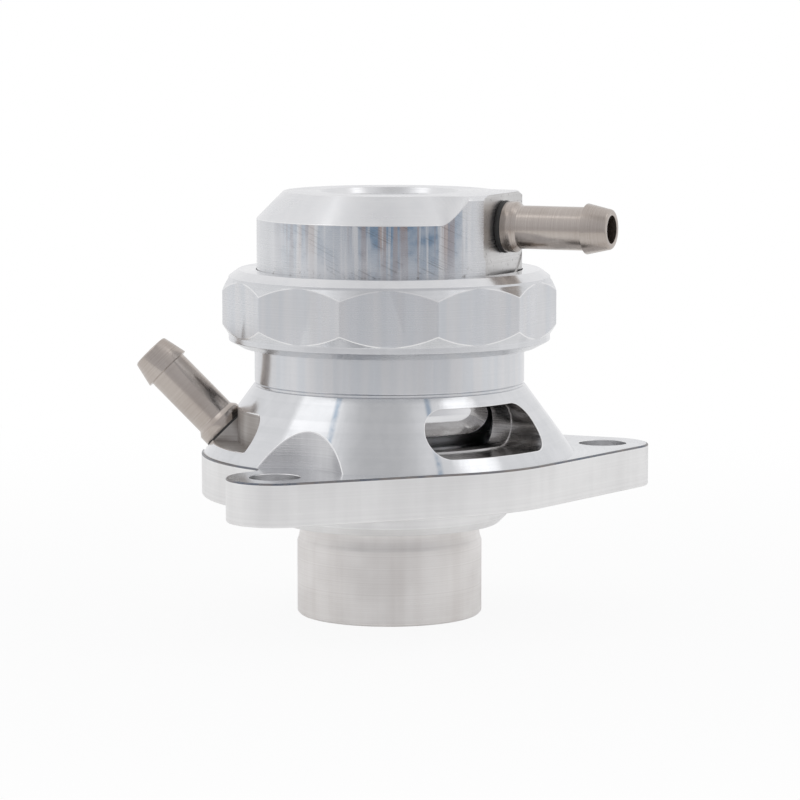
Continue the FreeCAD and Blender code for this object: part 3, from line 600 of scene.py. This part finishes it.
def raise_up(mesh, low, high):
    """Fill an outline drawn from above, and raise it from one height to another."""
    face = bmesh.ops.contextual_create(mesh, geom=mesh.edges[:])["faces"]
    made = bmesh.ops.extrude_face_region(mesh, geom=face)
    upper = [item for item in made["geom"] if isinstance(item, bmesh.types.BMVert)]
    bmesh.ops.translate(mesh, verts=mesh.verts, vec=(0, 0, low))
    bmesh.ops.translate(mesh, verts=upper, vec=(0, 0, high - low))
    bmesh.ops.recalc_face_normals(mesh, faces=mesh.faces)
    return mesh


def sharp_edges(mesh):
    return [edge for edge in mesh.edges if edge.is_manifold and edge.calc_face_angle() > CORNER]


def ring_edges(mesh):
    """The sharp edges that run round a turned mesh. Each is short."""
    return [edge for edge in sharp_edges(mesh) if edge.calc_length() < LONGEST_STEP]


def break_edges(mesh, edges, width=EDGE_BREAK, segments=2, finish=-1):
    """Round the edges a little, as a file or a deburring brush does."""
    bmesh.ops.bevel(mesh, geom=edges, offset=width, segments=segments, profile=0.5,
                    affect="EDGES", material=finish, clamp_overlap=False)


def finish_from(mesh, bands):
    """Number the faces' finishes by height: bands holds (lowest height, number), upwards."""
    for face in mesh.faces:
        height = face.calc_center_median().z
        face.material_index = [number for lowest, number in bands if height >= lowest][-1]


def rod(name, radius, low, high, finish, place=Matrix(), far_radius=None):
    """A round cutter about the Z axis of its place, and a cone where its far radius differs."""
    mesh = bmesh.new()
    middle = Matrix.Translation((0, 0, (low + high) / 2))
    bmesh.ops.create_cone(mesh, cap_ends=True, segments=96, radius1=radius, radius2=far_radius or radius,
                          depth=high - low, matrix=place @ middle)
    return solid(name, mesh, finish)


def settle(piece):
    """Put the result of the modifiers in the mesh itself."""
    ready = piece.evaluated_get(bpy.context.evaluated_depsgraph_get())
    mesh = bpy.data.meshes.new_from_object(ready)
    piece.modifiers.clear()
    spent, piece.data = piece.data, mesh
    bpy.data.meshes.remove(spent)


def carve(piece, cutters, operation="DIFFERENCE"):
    """Take the cutters away from the piece, or join them to it. Their finish stays on the cut."""
    for cutter in cutters:
        change = piece.modifiers.new(cutter.name, "BOOLEAN")
        change.operation = operation
        change.solver = "EXACT"
        change.material_mode = "TRANSFER"
        change.object = cutter
    settle(piece)
    for cutter in cutters:
        spent = cutter.data
        bpy.data.objects.remove(cutter)
        bpy.data.meshes.remove(spent)


print("a full turn has", STEPS, "steps")

# %% [markdown]
# A fresh cut has burrs, so its edges are broken with a file or a brush. The broken edges get a lighter metal,
# a painted highlight that draws a thin bright line. Two finishes that meet at an angle keep a crisp border,
# and all else is shaded smoothly.

# %% Clean cuts, smooth shading and the frame
WELD, SLIVER, BREAK_ROOM = 0.01, 0.005, 1.6
CREASE_ANGLE, MEETING_ANGLE = 50, 15


def cut_edges(mesh):
    """The sharp outer corners where a cut meets another finish."""
    return [edge for edge in sharp_edges(mesh)
            if edge.is_convex and len({face.material_index for face in edge.link_faces}) == 2]


def clear_way(mesh, room):
    """Weld onto the cuts what stands closer to them than an edge break needs."""
    on_cut = {vertex for edge in cut_edges(mesh) for vertex in edge.verts}
    moves = {}
    for vertex in on_cut:
        for edge in vertex.link_edges:
            other = edge.other_vert(vertex)
            if other not in on_cut and edge.calc_length() < room:
                moves[other] = vertex
    bmesh.ops.weld_verts(mesh, targetmap=moves)
    return len(moves)


def deburr(piece, width=EDGE_BREAK):
    """Clean a carved mesh, and break the edges of its cuts."""
    mesh = bmesh.new()
    mesh.from_mesh(piece.data)
    bmesh.ops.remove_doubles(mesh, verts=mesh.verts, dist=WELD)
    bmesh.ops.dissolve_degenerate(mesh, edges=mesh.edges, dist=SLIVER)
    while clear_way(mesh, width * BREAK_ROOM):
        pass
    fill_holes(mesh)
    open_edges = sum(not edge.is_manifold for edge in mesh.edges)
    edges = cut_edges(mesh)
    if EDGE_HIGHLIGHT_METAL.name not in piece.data.materials:
        piece.data.materials.append(EDGE_HIGHLIGHT_METAL)
    # The broken edges take the lighter edge metal: a painted highlight.
    break_edges(mesh, edges, width, finish=piece.data.materials.find(EDGE_HIGHLIGHT_METAL.name))
    print(piece.name, "has", len(edges), "edges on its cuts, and open edges:", open_edges)
    mesh.to_mesh(piece.data)
    mesh.free()


def keep_creases(piece):
    """Smooth the shading, but not over a crease, nor where two finishes meet at an angle."""
    mesh = bmesh.new()
    mesh.from_mesh(piece.data)
    edge_break = piece.data.materials.find(EDGE_HIGHLIGHT_METAL.name)
    for face in mesh.faces:
        face.smooth = True
    for edge in mesh.edges:
        angle = degrees(edge.calc_face_angle(0))
        finishes = {face.material_index for face in edge.link_faces}
        meeting = len(finishes) == 2 and edge_break not in finishes
        edge.smooth = angle < (MEETING_ANGLE if meeting else CREASE_ANGLE)
    mesh.to_mesh(piece.data)
    mesh.free()


def refinish(piece, finish, chosen):
    """Give a finish to the faces that pass a test."""
    number = piece.data.materials.find(finish.name)
    for face in piece.data.polygons:
        if chosen(face):
            face.material_index = number


def dress(piece, body, nodes):
    """Bring a piece to metres, smooth it, keep its flats flat, and put it in the frame."""
    piece.data.transform(Matrix.Scale(MM, 4))
    keep_creases(piece)
    piece.modifiers.new("flats_stay_flat", "WEIGHTED_NORMAL").keep_sharp = True
    settle(piece)
    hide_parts(*nodes)
    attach(piece, body)
    triangles = sum(len(face.vertices) - 2 for face in piece.data.polygons)
    print(piece.name, "has", triangles, "triangles and", len(piece.data.materials), "finishes")


print("edges are sharp over", CREASE_ANGLE, "degrees")

# %% [markdown]
# The body starts as a turned blank. Below the cone's foot it goes on inside the bolt plate, so no
# two faces lie in one plane, which Booleans handle badly. Round pockets sink beside the cone, so
# that a screw head can sit on each ear, and they leave arches in the cone.

# %% The turned blank of the body and its two pockets
SPIGOT_RADIUS, SPIGOT_TOP = 12.75, 10.1
BOSS_FOOT, PLATE_FOOT, PLATE_TOP = 12.8, 16.7, 22.5
BOSS_RADIUS = 16.3
EAR_SIDE, EAR_FRONT = 28.5, -12.15
CONE_FOOT_RADIUS, CONE_TOP_RADIUS, CONE_TOP = 25.5, 18.7, 31.8
NECK_RADIUS, NECK_TOP, HEAD_RADIUS = 18.55, 38.3, 19.75
NECK_GROOVE = NECK_RADIUS - 0.2
POCKET_RADIUS, BOLT_HOLE_RADIUS = 9.1, 3.35
CONE_SLOPE = (CONE_FOOT_RADIUS - CONE_TOP_RADIUS) / (CONE_TOP - PLATE_TOP)


def body_outside():
    sunk = 0.5
    pen = Pen((0, 0), (SPIGOT_RADIUS - 0.3, 0), (SPIGOT_RADIUS, 0.3), (SPIGOT_RADIUS, SPIGOT_TOP))
    pen.curve(SPIGOT_RADIUS - 0.3, BOSS_FOOT, -5.0, steps=8)
    pen.lines((BOSS_RADIUS - 1.1, BOSS_FOOT), (BOSS_RADIUS, BOSS_FOOT + 1.1), (BOSS_RADIUS, PLATE_TOP - 2),
              (CONE_FOOT_RADIUS + CONE_SLOPE * sunk, PLATE_TOP - sunk), (CONE_TOP_RADIUS, CONE_TOP),
              (NECK_GROOVE, CONE_TOP), (NECK_GROOVE, CONE_TOP + 0.3), (NECK_RADIUS, CONE_TOP + 0.5),
              (NECK_RADIUS, NECK_TOP), (HEAD_RADIUS, NECK_TOP), (HEAD_RADIUS, HEAD_TOP), (0, HEAD_TOP))
    mesh = turn(pen.mesh)
    break_edges(mesh, [edge for edge in sharp_edges(mesh) if edge.verts[0].co.z > 0.1], 0.08)
    finish_from(mesh, [(-1, 0), (BOSS_FOOT - 0.1, 1), (PLATE_TOP - 1, 2), (CONE_TOP - 0.05, 3)])
    return solid("valve_housing", mesh, SPIGOT_SATIN, PLATE_SIDE, POLISHED, NECK_SATIN)


def over_the_ears(name, radius, low, high):
    """A round cutter for each ear, upright on the bolt's axis."""
    return [rod(name, radius, low, high, MILLED, Matrix.Translation((side, EAR_FRONT, 0)))
            for side in (EAR_SIDE, -EAR_SIDE)]


housing = body_outside()
carve(housing, over_the_ears("bolt_pocket", POCKET_RADIUS, PLATE_TOP - 1, CONE_TOP + 4))
print("blank with pockets:", len(housing.data.polygons), "faces")

# %% [markdown]
# The bolt plate is a disc with two ears. Straight tangents join them, but behind the left ear the
# plate turns in with a small fillet, so that the lower hose has room.

# %% The plate with its two ears
EAR_RADIUS, EAR_FILLET = 6.4, 2.2
PLATE_RADIUS = CONE_FOOT_RADIUS + 0.4
PLATE_EDGE = 0.25
SIDE, FLAT, RIM = 0, 1, 2


def bolt_plate():
    reach = hypot(EAR_SIDE, EAR_FRONT)
    right, left = atan2(EAR_FRONT, EAR_SIDE), atan2(EAR_FRONT, -EAR_SIDE)
    opening = acos((PLATE_RADIUS - EAR_RADIUS) / reach)
    to_ear, to_disc = EAR_RADIUS + EAR_FILLET, PLATE_RADIUS + EAR_FILLET
    corner = acos((reach ** 2 + to_ear ** 2 - to_disc ** 2) / (2 * reach * to_ear))
    middle = Vector((0, 0, 0))
    right_ear, left_ear = (Vector((side, EAR_FRONT, 0)) for side in (EAR_SIDE, -EAR_SIDE))
    fillet_angle = left + pi + corner

    def on(centre, radius, angle):
        return centre.xy + Vector((cos(angle), sin(angle))) * radius

    hollow = on(left_ear, to_ear, fillet_angle).to_3d()
    hollow_bearing = atan2(hollow.y, hollow.x) % FULL_TURN
    pen = Pen(on(middle, PLATE_RADIUS, right - opening), on(right_ear, EAR_RADIUS, right - opening),
              from_above=True)
    pen.swing(right_ear, 2 * opening, steps=48)
    pen.lines(on(middle, PLATE_RADIUS, right + opening))
    pen.swing(middle, hollow_bearing - right - opening, steps=72)
    pen.swing(hollow, fillet_angle - hollow_bearing, steps=16)
    pen.swing(left_ear, left + opening + FULL_TURN - fillet_angle, steps=48)
    pen.lines(on(middle, PLATE_RADIUS, left + opening))
    pen.swing(middle, right - opening - left - opening, steps=32)
    mesh = raise_up(pen.close(), PLATE_FOOT, PLATE_TOP)
    flat = [face for face in mesh.faces if abs(face.normal.z) > 0.9]
    for face in mesh.faces:
        face.material_index = FLAT if face in flat else SIDE
    rims = {edge for face in flat for edge in face.edges}
    break_edges(mesh, list(rims), PLATE_EDGE, segments=3, finish=RIM)
    for face in mesh.faces:
        if face.material_index == RIM and face.calc_center_median().z < PLATE_TOP - PLATE_EDGE:
            face.material_index = SIDE
    return solid("bolt_plate", mesh, PLATE_SIDE, PLATE_FACE, PLATE_RIM)


carve(housing, [bolt_plate()], "UNION")
print("blank and plate:", len(housing.data.polygons), "faces")

# %% [markdown]
# Inside, the air comes up through the inlet to the seat, and out through the windows. Those are
# milled by swinging a round cutter about the axis, so each has a straight middle and two round
# ends that point at the axis. A slightly wider second cut stops half way and leaves a fine step.

# %% Boring the inside and milling the windows
INLET_RADIUS, SEAT_FOOT, SEAT_TOP = 11.0, 19.7, 24.0
BORE_RADIUS, STEP_RADIUS, STEP = 15.2, 18.0, 0.16
WINDOW_RADIUS, WINDOW_HEIGHT, WINDOW_SWING = 3.05, 27.25, 17.5
OUTSIDE, CAP_SEAL_HEIGHT = 32.0, 1.35


def body_inside():
    seat_rise = SEAT_TOP - SEAT_FOOT
    pen = Pen((0, -1), (INLET_RADIUS + 1.3, -1), (INLET_RADIUS, 0.3), (INLET_RADIUS, SEAT_FOOT),
              (INLET_RADIUS + seat_rise, SEAT_TOP), (BORE_RADIUS + 0.1, SEAT_TOP + 0.1),
              (BORE_RADIUS, HEAD_TOP - 0.4), (BORE_RADIUS + 1.4, HEAD_TOP + 1), (0, HEAD_TOP + 1))
    return solid("body_inside", turn(pen.mesh), BORE)


def cap_seal_groove():
    floor, inner, outer = HEAD_TOP - CAP_SEAL_HEIGHT, 16.475, 18.875
    pen = Pen((inner, floor), (outer, floor), (outer, HEAD_TOP + 1), (inner, HEAD_TOP + 1))
    return solid("cap_seal_groove", turn(pen.close()), BORE)


def seat(bearing, radius, height, lean):
    """A place on a bearing whose own Z leans outwards from upright."""
    turned = Matrix.Rotation(radians(bearing), 4, "Z") @ Matrix.Rotation(radians(lean), 4, "Y")
    return Matrix.Translation(on_bearing(bearing, radius, height)) @ turned


def window_cutters(bearing, radius, inner):
    """The swing of a round cutter from an inner radius outwards: a sweep and two round ends."""
    low, high = WINDOW_HEIGHT - radius, WINDOW_HEIGHT + radius
    section = Pen((inner, low), (OUTSIDE, low), (OUTSIDE, high), (inner, high)).close()
    sweep = turn(section, bearing - WINDOW_SWING, 2 * WINDOW_SWING)
    cutters = [solid("window_sweep", sweep, WINDOW_WALL)]
    for end in (bearing - WINDOW_SWING, bearing + WINDOW_SWING):
        place = seat(end, 0, WINDOW_HEIGHT, 90)
        cutters.append(rod("window_end", radius, inner, OUTSIDE, WINDOW_WALL, place))
    return cutters


carve(housing, [body_inside(), cap_seal_groove()])
for window_bearing in (-90, 90):
    carve(housing, window_cutters(window_bearing, WINDOW_RADIUS - STEP, BORE_RADIUS - 1.2))
    carve(housing, window_cutters(window_bearing, WINDOW_RADIUS, STEP_RADIUS))
print("with bore and windows:", len(housing.data.polygons), "faces")

# %% [markdown]
# Behind the left ear an end mill runs round the cone and leaves the lower nipple's round pad standing. The
# pad is taken out of the cutter first, so it stays on the body. Last, the step round each window gets the
# lighter edge metal, a painted highlight along the line a sharp tool left.

# %% Bolt holes and the notch for the lower nipple
NOTCH_WALL, NOTCH_MILL, NOTCH_FLOOR = 20.9, 2.4, 24.0
NOTCH_FIRST, NOTCH_LAST = 126.0, 173.5
PAD_RADIUS, SPOT_WIDTH, RIM_HEIGHT = 4.35, 3.8, 0.45
LOWER_SEAT = seat(135, 22.4, 24.8, 45)
THREAD_RADIUS, THREAD_DEPTH = 2.45, 3.5


def notch_cutter():
    path = NOTCH_WALL + NOTCH_MILL
    pen = Pen((NOTCH_WALL, NOTCH_FLOOR), (path + NOTCH_MILL, NOTCH_FLOOR), (path + NOTCH_MILL, CONE_TOP),
              (NOTCH_WALL, CONE_TOP))
    notch = solid("notch", turn(pen.close(), NOTCH_FIRST, NOTCH_LAST - NOTCH_FIRST), NOTCH_METAL)
    ends = [rod("notch_end", NOTCH_MILL, NOTCH_FLOOR, CONE_TOP + 0.02, NOTCH_METAL,
                Matrix.Translation(on_bearing(end, path, 0)))
            for end in (NOTCH_FIRST, NOTCH_LAST)]
    carve(notch, ends, "UNION")
    carve(notch, [rod("pad", PAD_RADIUS, -12, 12, NOTCH_METAL, LOWER_SEAT)])
    return notch


def on_window_step(face):
    """Whether a face is a wall of the windows, on the step's radius, that looks outwards."""
    level = Vector((face.center.x, face.center.y, 0))
    wall = housing.data.materials[face.material_index] == WINDOW_WALL
    return wall and abs(level.length - STEP_RADIUS) < 0.3 and face.normal.dot(level.normalized()) > 0.9


carve(housing, over_the_ears("bolt_hole", BOLT_HOLE_RADIUS, PLATE_FOOT - 1, PLATE_TOP + 1))
carve(housing, [notch_cutter()])
deburr(housing)
# The lower pad's top and its spot face take the lighter edge metal as well: a painted highlight.
carve(housing, [rod("pad_top", PAD_RADIUS + 0.05, RIM_HEIGHT, 12, EDGE_HIGHLIGHT_METAL, LOWER_SEAT)])
carve(housing, [rod("lower_spot_face", SPOT_WIDTH, 0, 12, EDGE_HIGHLIGHT_METAL, LOWER_SEAT),
                rod("lower_thread_hole", THREAD_RADIUS, -THREAD_DEPTH, 1, MILLED, LOWER_SEAT)])
refinish(housing, EDGE_HIGHLIGHT_METAL, on_window_step)
dress(housing, "housing", ["valve_body"])

# %% [markdown]
# The clamp ring screws on over the head and holds the cap's flange down. It is turned with
# slopes at both ends, and then eleven flats are milled. Where a flat meets a slope its edge is an
# arc, and the Boolean with an eleven-sided bar gives those arcs by itself.

# %% The clamp ring
RING_SIDES = 11
RING_RIM, RING_REACH, RING_APOTHEM = 22.08, 23.1, 22.12
RING_THREAD, RING_LIP_RADIUS, RING_FOOT_RADIUS, RING_TOP_RADIUS = 19.8, 18.3, 20.3, 20.75
RING_LIP_FOOT = 45.9


def ring_blank():
    pen = Pen((RING_THREAD, RING_BOTTOM), (RING_FOOT_RADIUS, RING_BOTTOM), (RING_RIM, RING_BOTTOM + 0.94),
              (RING_RIM, RING_BOTTOM + 1.74), (RING_REACH, RING_BOTTOM + 3.29), (RING_REACH, RING_TOP - 2.82),
              (RING_RIM, RING_TOP - 1.27), (RING_RIM, RING_TOP - 0.97), (RING_TOP_RADIUS, RING_TOP),
              (RING_LIP_RADIUS, RING_TOP), (RING_LIP_RADIUS, RING_LIP_FOOT), (RING_THREAD, RING_LIP_FOOT))
    mesh = turn(pen.close(), CAMERA_BEARING + 180 / RING_SIDES)
    break_edges(mesh, sharp_edges(mesh), 0.07)
    finish_from(mesh, [(0, 0), (RING_TOP - 0.97, 1)])
    return solid("ring", mesh, RING_TURNED, RING_LIP)


def ring_bar():
    half_side = pi / RING_SIDES
    place = Matrix.Rotation(radians(CAMERA_BEARING - 90) + half_side, 4, "Z")
    mesh = bmesh.new()
    radius = RING_APOTHEM / cos(half_side)
    lift = Matrix.Translation((0, 0, (RING_BOTTOM + RING_TOP) / 2))
    bmesh.ops.create_cone(mesh, cap_ends=True, segments=RING_SIDES, radius1=radius, radius2=radius,
                          depth=RING_TOP - RING_BOTTOM + 2, matrix=lift @ place)
    uprights = [edge for edge in mesh.edges if abs(edge.verts[0].co.z - edge.verts[1].co.z) > 1]
    break_edges(mesh, uprights, 0.1)
    return solid("ring_bar", mesh, RING_FLAT)


ring = ring_blank()
carve(ring, [ring_bar()], "INTERSECT")
deburr(ring, 0.09)
dress(ring, "housing", ["clamp_ring"])

# %% [markdown]
# The cap is turned with a flange below and a shallow recess on top. Its wide chamfer is milled: the
# chamfer mill runs round the rim and lifts out on both sides of the nipple, which leaves a conical
# run-out at each end. Beside it a flat and a round spot face make the nipple's seat.

# %% The cap
CAP_RADIUS, CHAMFER_WIDTH, MILL_TIP, CHAMFER_GAP = 18.2, 3.68, 1.7, 44.5
FLANGE_RADIUS, FLANGE_TOP = 19.5, 45.88
RECESS_RADIUS, RECESS_FLOOR = 9.75, 57.44
CAVITY_RADIUS, CAVITY_ROOF, SPRING_ROOM, SPRING_POCKET_ROOF = 15.5, 49.8, 10.7, 55.4
UPPER_BEARING, UPPER_HEIGHT = -61.7, 53.85
CAP_FLAT, UPPER_SEAT_RADIUS, SPOT_RADIUS = 16.95, 16.8, 7.9
UPPER_SEAT = seat(UPPER_BEARING, UPPER_SEAT_RADIUS, UPPER_HEIGHT, 90)


def cap_blank():
    pen = Pen((0, SPRING_POCKET_ROOF), (SPRING_ROOM, SPRING_POCKET_ROOF), (SPRING_ROOM, CAVITY_ROOF),
              (CAVITY_RADIUS, CAVITY_ROOF), (CAVITY_RADIUS, CAP_BOTTOM), (FLANGE_RADIUS, CAP_BOTTOM),
              (FLANGE_RADIUS, FLANGE_TOP), (CAP_RADIUS, FLANGE_TOP), (CAP_RADIUS, CAP_TOP - 0.55),
              (CAP_RADIUS - 0.55, CAP_TOP), (RECESS_RADIUS, CAP_TOP), (RECESS_RADIUS - 0.5, RECESS_FLOOR),
              (0, RECESS_FLOOR))
    mesh = turn(pen.mesh)
    break_edges(mesh, ring_edges(mesh), 0.08)
    finish_from(mesh, [(0, 0), (FLANGE_TOP, 1), (RECESS_FLOOR - 0.1, 2)])
    return solid("cap", mesh, BORE, CAP_SIDE, CAP_UPPER)


def chamfer_cutters():
    low = CAP_TOP - CHAMFER_WIDTH
    path = CAP_RADIUS + MILL_TIP
    over = 1.0
    first, last = UPPER_BEARING + CHAMFER_GAP, UPPER_BEARING - CHAMFER_GAP + 360
    pen = Pen((CAP_RADIUS, low), (path, low), (path, CAP_TOP + over),
              (CAP_RADIUS - CHAMFER_WIDTH - over, CAP_TOP + over))
    cutters = [solid("chamfer_sweep", turn(pen.close(), first, last - first), CAP_CHAMFER)]
    for end in (first, last):
        place = Matrix.Translation(on_bearing(end, path, 0))
        cutters.append(rod("chamfer_end", MILL_TIP, low, CAP_TOP + over, CAP_CHAMFER, place,
                           MILL_TIP + CHAMFER_WIDTH + over))
    return cutters


def flat_cutter():
    depth, width = 4.0, 40.0
    foot = FLANGE_TOP + 0.4
    mesh = bmesh.new()
    bmesh.ops.create_cube(mesh, size=1.0)
    height = CAP_TOP + 1 - foot
    bmesh.ops.scale(mesh, verts=mesh.verts, vec=(depth, width, height))
    bmesh.ops.translate(mesh, verts=mesh.verts, vec=(CAP_FLAT + depth / 2, 0, foot + height / 2))
    face_bearing(mesh, UPPER_BEARING)
    return solid("cap_flat", mesh, CAP_SIDE)


cap = cap_blank()
carve(cap, chamfer_cutters())
carve(cap, [flat_cutter()])
deburr(cap, 0.08)
carve(cap, [rod("spot_face", SPOT_RADIUS, 0, 6, NIPPLE_FACE, UPPER_SEAT),
            rod("upper_thread_hole", THREAD_RADIUS, -THREAD_DEPTH, 1, MILLED, UPPER_SEAT)])
refinish(cap, NIPPLE_FACE, lambda face: face.normal.dot(towards(UPPER_BEARING, 0)) > 0.999)
dress(cap, "cap", ["top_cap"])

# %% [markdown]
# The hose nipples are turned steel, a little warm in tone beside the aluminium. Both are the same
# piece, spun about its own axis and then sent to its seat. The rings of the lathe tool must follow
# it, so each gets its own copy of the finish, with the seat's place in its Mapping node.

# %% The two hose nipples
STEEL = (0.58, 0.53, 0.49), (0.40, 0.345, 0.305)
# The bore's tints are darker than the outside: painted shade inside the tube.
SHADED_STEEL_INSIDE = STEEL[1], (0.2, 0.16, 0.13)
WASHER = 0.75
STUD_FOOT, STUD_RADIUS, STUD_BORE = -3.4, 2.4, 1.2
COLLAR_RADIUS, TUBE_RADIUS, TUBE_BORE, BARB_RADIUS = 3.43, 2.92, 1.89, 3.42


def nipple(name, place, body):
    collar, tube, barb = WASHER + 1.35, WASHER + 2.0, WASHER + 11.45
    tip = barb + 3.45
    pen = Pen((STUD_BORE, STUD_FOOT), (STUD_RADIUS - 0.3, STUD_FOOT), (STUD_RADIUS, STUD_FOOT + 0.3),
              (STUD_RADIUS, WASHER), (COLLAR_RADIUS, WASHER), (COLLAR_RADIUS, collar),
              (TUBE_RADIUS, tube), (TUBE_RADIUS, barb), (BARB_RADIUS, barb), (BARB_RADIUS - 0.7, tip - 0.3))
    pen.curve(BARB_RADIUS - 1, tip, 0.35, steps=6)
    pen.lines((TUBE_BORE, tip), (TUBE_BORE, collar), (STUD_BORE, collar))
    mesh = turn(pen.close())
    break_edges(mesh, sharp_edges(mesh), 0.06)
    for face in mesh.faces:
        middle = face.calc_center_median()
        inside = hypot(middle.x, middle.y) < TUBE_BORE + 0.06 and middle.z < tip - 0.05
        face.material_index = 1 if inside else 0
    bmesh.ops.transform(mesh, verts=mesh.verts, matrix=place)
    outside = metal(name + "_steel", STEEL, 0.22, lines=5, depth=0.5, smear=0, place_on=place)
    inside = metal(name + "_bore", SHADED_STEEL_INSIDE, 0.4, lines=3, smear=0, place_on=place)
    dress(solid(name, mesh, outside, inside), body, [name.replace("tail", "nipple")])


nipple("upper_tail", UPPER_SEAT, "cap")
nipple("lower_tail", LOWER_SEAT, "housing")

# %% [markdown]
# A soft ring seals each joint: a washer under each nipple, one ring under the cap's flange and two
# round the piston. Rubber has no sharp edges, so each section is drawn with round sides.

# %% The seals
def rubber_ring(name, node, body, inner, outer, low, high, place=Matrix()):
    """A ring with a flat top and foot and round sides, spun about the Z axis of its place."""
    side = (high - low) / 2
    left, right, bulge = inner + side / 2, outer - side / 2, side * 1.25
    pen = Pen((left, low), (right, low))
    pen.curve(right, high, bulge)
    pen.lines((left, high))
    pen.curve(left, low, bulge)
    mesh = turn(pen.close())
    bmesh.ops.transform(mesh, verts=mesh.verts, matrix=place)
    dress(solid(name, mesh, RUBBER), body, [node])


WASHER_INSIDE, WASHER_OUTSIDE, CAP_SEAL_INSIDE, CAP_SEAL_OUTSIDE = 2.45, 3.55, 16.63, 18.72
PISTON_GROOVES = (PISTON_TOP - 8.7, PISTON_TOP - 3.7)
GROOVE_WIDTH, GROOVE_RADIUS, GROOVE_PLAY = 2.4, 13.77, 0.15
for label, seal_place, body in (("upper", UPPER_SEAT, "cap"), ("lower", LOWER_SEAT, "housing")):
    rubber_ring(label + "_washer", label + "_nipple_seal", body, WASHER_INSIDE, WASHER_OUTSIDE,
                0, WASHER, seal_place)
rubber_ring("flange_ring", "cap_seal", "housing", CAP_SEAL_INSIDE, CAP_SEAL_OUTSIDE,
            HEAD_TOP - CAP_SEAL_HEIGHT, HEAD_TOP)
for label, groove in zip(("lower", "upper"), PISTON_GROOVES):
    rubber_ring("piston_ring_" + label, "piston_seal_" + label, "piston", GROOVE_RADIUS, 15.17,
                groove + GROOVE_PLAY, groove + GROOVE_WIDTH - GROOVE_PLAY)

# %% [markdown]
# The piston's polished nose shows through the windows. It rolls in a full curve from the seat's
# cone to its waist, so it mirrors the window's frame in curved bands.

# %% The piston
PISTON_FOOT = 20.71
PISTON_RADIUS, BARREL_RADIUS, BARREL_CURVE, BARREL_MIDDLE = 15.12, 15.0, 6.5, 28.9
NOSE_RADIUS, WAIST_RADIUS, POCKET_MOUTH, POCKET_FLOOR = 11.8, 14.3, 10.6, 24.51


def piston():
    lean, roll = radians(45), radians(15)
    foot_radius = BARREL_RADIUS - BARREL_CURVE * (1 - cos(lean))
    pen = Pen((0, PISTON_FOOT), (NOSE_RADIUS, PISTON_FOOT),
              (foot_radius, PISTON_FOOT + foot_radius - NOSE_RADIUS),
              (foot_radius, BARREL_MIDDLE - BARREL_CURVE * sin(lean)))
    pen.curve(BARREL_RADIUS - BARREL_CURVE * (1 - cos(roll)),
              BARREL_MIDDLE + BARREL_CURVE * sin(roll), BARREL_CURVE, steps=20)
    pen.lines((WAIST_RADIUS, 31.0), (WAIST_RADIUS, 31.2), (PISTON_RADIUS, 31.8))
    for low in PISTON_GROOVES:
        high = low + GROOVE_WIDTH
        pen.lines((PISTON_RADIUS, low), (GROOVE_RADIUS, low), (GROOVE_RADIUS, high), (PISTON_RADIUS, high))
    pen.lines((PISTON_RADIUS, PISTON_TOP - 0.3), (PISTON_RADIUS - 0.3, PISTON_TOP),
              (POCKET_MOUTH + 0.3, PISTON_TOP), (POCKET_MOUTH, PISTON_TOP - 0.3),
              (POCKET_MOUTH, POCKET_FLOOR), (0, POCKET_FLOOR))
    mesh = turn(pen.mesh)
    break_edges(mesh, ring_edges(mesh), 0.06)
    return solid("sliding_piston", mesh, PISTON_BRIGHT)


dress(piston(), "piston", ["piston"])

# %% [markdown]
# The spring pushes the piston down. It is round wire wound on a helix: a circle that is spun and lifted at
# once. Both ends are ground flat, which is one cut by a plane at each end.

# %% The return spring
SPRING_RADIUS, WIRE_RADIUS, SPRING_TURNS = 9.3, 0.85, 7.5
TURN_STEPS = 48
SPRING_LENGTH = SPRING_POCKET_ROOF - POCKET_FLOOR


def spring():
    steps = round(SPRING_TURNS * TURN_STEPS)
    mesh = bmesh.new()

    def everything():
        return mesh.verts[:] + mesh.edges[:] + mesh.faces[:]

    upright = Matrix.Translation((SPRING_RADIUS, 0, POCKET_FLOOR)) @ Matrix.Rotation(pi / 2, 4, "X")
    bmesh.ops.create_circle(mesh, cap_ends=True, segments=12, radius=WIRE_RADIUS, matrix=upright)
    bmesh.ops.spin(mesh, geom=everything(), cent=(0, 0, 0), axis=(0, 0, 1),
                   dvec=(0, 0, SPRING_LENGTH / steps), angle=SPRING_TURNS * FULL_TURN, steps=steps)
    bmesh.ops.remove_doubles(mesh, verts=mesh.verts, dist=SAME_SPOT)
    for level, upwards in ((POCKET_FLOOR, False), (SPRING_POCKET_ROOF, True)):
        bmesh.ops.bisect_plane(mesh, geom=everything(), plane_co=(0, 0, level), plane_no=(0, 0, 1),
                               clear_outer=upwards, clear_inner=not upwards)
        fill_holes(mesh)
    bmesh.ops.recalc_face_normals(mesh, faces=mesh.faces)
    return solid("coil_spring", mesh, SPRING_WIRE)


coil = spring()
dress(coil, "housing", ["return_spring"])
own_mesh(coil)
